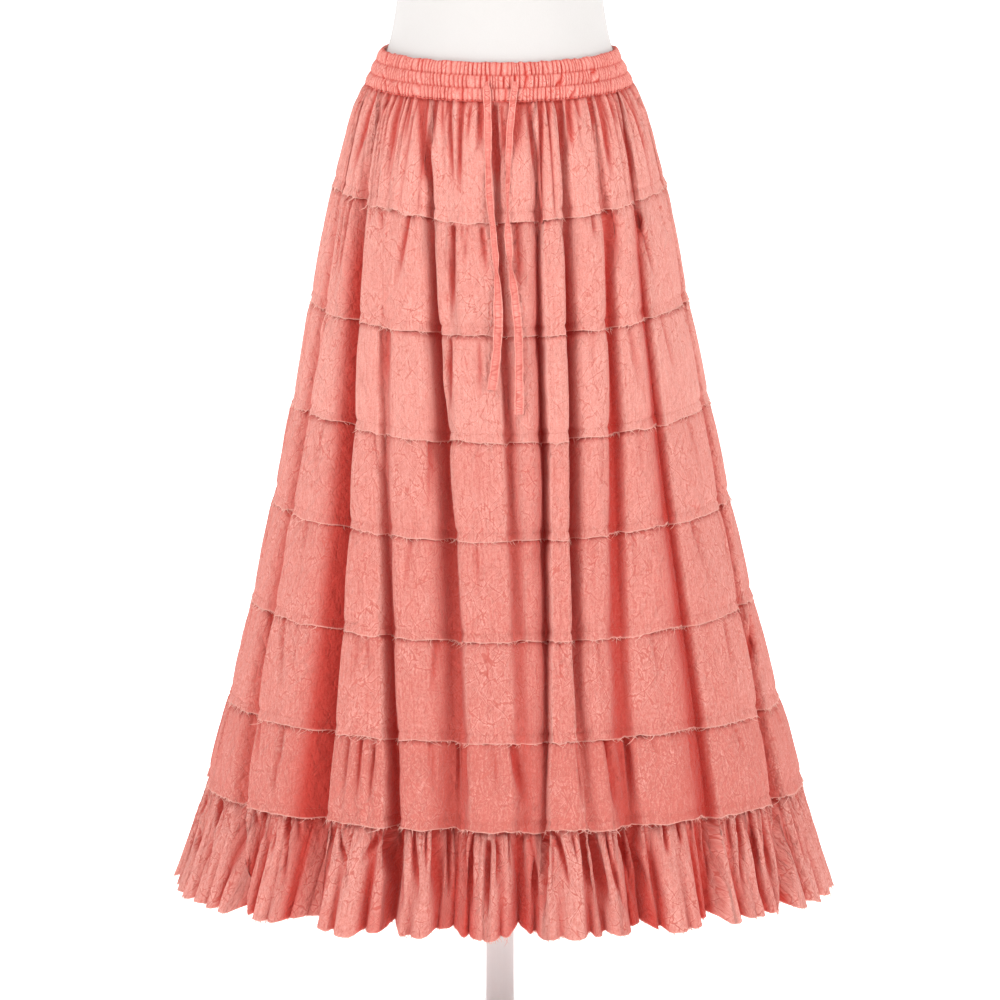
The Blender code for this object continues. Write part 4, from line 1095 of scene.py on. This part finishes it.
def waistband():
    """Three puffed rows round elastic. The outer wall's lift is an arch for each row, cut by furrows as
    sharp as 1 minus the sine's size to the power 0.5; each row's furrows slant, wander and change depth
    in their own way. Shade is painted in the furrows, between the rows and along the bottom edge, and a
    dark eyelet hole is painted where each tie end comes out. The inside is plain."""
    bottom, top = LEVEL["band_bottom"], LEVEL["band_top"]
    turn = np.arange(BAND_COLUMNS)[None, :] / BAND_COLUMNS
    angle = TURN * turn - np.pi
    share = np.linspace(0, 1, BAND_LINES)[:, None]
    row = np.minimum((share * 3).astype(int), 2)
    arch = np.abs(np.sin(np.pi * (share * 3 - row))) ** 0.5
    level = bottom + share * (top - bottom)
    ribs = 0.0
    for number in range(3):
        slant = -0.8 * np.sin(angle) * (2.0 if number < 2 else 0.5)
        wander = 1.0 * ring_noise(turn, 70, 61 + number)
        wander = wander + 0.15 * lattice_noise(turn, share, 150, 3, 71 + number)
        phase = BAND_RIBS * turn + number / 3 + wander + slant * (share * 3 - row - 0.5)
        rng = np.random.default_rng(81 + number)
        strength = rng.uniform(0.5, 1.0, BAND_RIBS)[np.floor(phase + 0.5).astype(int) % BAND_RIBS]
        ribs = ribs + (row == number) * strength * (1 - np.abs(np.sin(np.pi * phase)) ** 0.5)
    lift = (-1.7 + 2.1 * arch - 3.6 * ribs * (0.6 + 0.4 * arch)) * MM
    lift = lift + 0.4 * MM * lattice_noise(turn, share, 120, 6, 44)
    outer = oval(angle, level + 0 * turn, lift)
    outer[..., 2] += 0.9 * MM * ring_noise(turn, 170, 43) * np.clip(share * 6 - 5, 0, 1)
    outer[..., 2] -= (1.6 + 0.6 * ring_noise(turn, 150, 45)) * MM * np.clip(1 - share * 9, 0, 1)
    inner_level = bottom + np.array([[0.97], [0.5], [0.03]]) * (top - bottom)
    points = np.concatenate([outer, oval(angle, inner_level + 0 * turn, -BAND_THICK + 0 * turn)])
    run = along_rows(points)[BAND_LINES // 2]
    up = np.concatenate([level, inner_level, level[:1]])
    pattern = np.stack(np.broadcast_arrays(run[None, :], up), axis=-1)
    # Painted shade in the rib furrows, between the puffed rows and along the bottom edge.
    rib_and_eyelet_shade = 2.3 * ribs**1.3 + 0.45 * (1 - arch) ** 2 + 0.5 * np.clip(1 - share * 12, 0, 1)
    # A dark eyelet hole is painted where each tie end comes out, for the shade inside it.
    for route in TIE_ROUTES.values():
        right, high, _ = np.array(route[0]) * MM
        eyelet = ((outer[..., 0] - right) / 0.0017) ** 2 + ((level - high - 0.003) / 0.0048) ** 2
        rib_and_eyelet_shade = np.maximum(rib_and_eyelet_shade, bell(eyelet) * (outer[..., 1] < 0))
    deep = np.concatenate([np.clip(rib_and_eyelet_shade, 0, 1), np.zeros((len(inner_level), BAND_COLUMNS))])
    marks = {"raw": 0.0, "deep": deep, "tone": 0.70, "crisp": 1.0}
    band = grid_piece("waistband_cloth", points, BAND_CLOTH, pattern, marks, closed_up=True)
    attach(band, "root")
    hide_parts("waistband")
    out = outward(outer)
    for number, seam in enumerate(BAND_SEAMS):
        stitched(f"waistband_stitching_{number + 1}", outer[seam], out[seam], 0.0026, 0.0016, 0.00026)
    # Dark stitches along the band's bottom, as painted pucker shade.
    stitched("waistband_pucker_shade_stitching", outer[1], out[1], 0.0051, 0.0028, 0.0005, PUCKER_SHADE_SEWING)


waistband()

# ---------------------------------------------------------------- the dress form

FORM_COLOUR, STAND_COLOUR, CAP_COLOUR = (0.64, 0.615, 0.60, 1), (0.93, 0.92, 0.91, 1), (0.70, 0.69, 0.67, 1)
TORSO_STEPS = 4  # rings from one row of the table to the next


def torso():
    """The form's knit-covered shell: ovals through the table's rings, smooth from one to the next, with
    its flat bottom and top closed by rings that shrink to the middle."""
    rings = np.array(TORSO_RINGS)
    height, wide, deep = smooth_route(rings[:, :3], TORSO_STEPS).T[:, :, None]
    forward = np.interp(height, rings[:, 0], rings[:, 3])
    angle = np.linspace(0, TURN, 96, endpoint=False)[None, :]
    x, y = wide * np.sin(angle), -deep * np.cos(angle) - forward
    points = np.stack([x, y, height + 0 * angle], axis=-1)
    middle_low, middle_high = points[:1].mean(1, keepdims=True), points[-1:].mean(1, keepdims=True)
    caps = [middle_low + (points[:1] - middle_low) * s for s in (0.002, 0.5, 0.95)]
    tops = [middle_high + (points[-1:] - middle_high) * s for s in (0.95, 0.5, 0.002)]
    points = np.concatenate(caps + [points] + tops)
    shell = grid_piece("form_torso_cover", points, jersey("white jersey", FORM_COLOUR))
    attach(shell, "root")
    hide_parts("form_torso")


torso()
STAND_PAINT = satin_paint("pale stand paint", STAND_COLOUR, 0.42, 900.0)
for node, finish, slot_name in (
    ("form_neck_cap", satin_paint("cap plastic", CAP_COLOUR, 0.5, 500.0), "cap"),
    ("form_pole", STAND_PAINT, "stand"),
    ("form_base", STAND_PAINT, "stand"),
):
    for material_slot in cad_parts[node].material_slots:
        material_slot.material = finish

# ---------------------------------------------------------------- floor and light

FLOOR_RADIUS = 60.0


def floor():
    """A wide pale disc: a fan of rings round the part's foot."""
    angle = np.linspace(0, TURN, 96, endpoint=False)[None, :]
    radius = np.array([[FLOOR_RADIUS], [14.0], [6.0], [2.0], [0.6], [0.001]])
    points = np.stack([radius * np.sin(angle), -radius * np.cos(angle), 0 * radius * angle], axis=-1)
    material, shader, add = new_material("pale floor")
    away = add("VectorMath", {"operation": "LENGTH"}, _0=add("TexCoord").outputs["Object"]).outputs["Value"]
    add(
        shader,
        Base_Color=blended(add, solid_noise(add, 0.7), (0.80, 0.80, 0.80, 1), (0.83, 0.83, 0.83, 1)),
        Roughness=0.9,
        Emission_Color=(1, 1, 1, 1),
        Emission_Strength=ranged(add, away, 0.18, 0.32, 0.2, 0.9),
    )
    grid_piece("studio_floor", points, material)


def area_light(name, place, aim, size, power, colour=(1, 1, 1)):
    data = bpy.data.lights.new(name, "AREA")
    data.shape, data.size, data.energy, data.color = "SQUARE", size, power, colour
    light = bpy.data.objects.new(name, data)
    light.location = place
    away = np.array(place, float) - np.array(aim, float)
    level = math.hypot(away[0], away[1])
    light.rotation_euler = (math.atan2(level, away[2]), 0, math.atan2(away[0], -away[1]))
    bpy.context.scene.collection.objects.link(light)


def studio():
    """Soft light from three square lamps, and a pale sky that is brighter behind the skirt."""
    world = bpy.data.worlds.new("soft studio")
    world.use_nodes = True
    add = node_maker(world.node_tree)
    apart = add("SeparateXYZ", Vector=add("TexCoord").outputs["Generated"])
    glow = ranged(add, apart.outputs["Y"], -0.6, 0.6, 0.04, 1.0, "SMOOTHSTEP")
    add(world.node_tree.nodes["Background"], Strength=glow, Color=(1, 1, 1, 1))
    bpy.context.scene.world = world
    bpy.context.scene.view_settings.view_transform = "Standard"
    area_light("left softbox", (-3.1, -2.5, 3.0), (0, 0, 0.95), 2.0, 105)
    area_light("right softbox", (3.1, -2.5, 3.0), (0, 0, 0.95), 2.0, 100)
    area_light("top softbox", (0.0, -1.2, 4.2), (0, 0, 0.8), 2.0, 41)


floor()
studio()
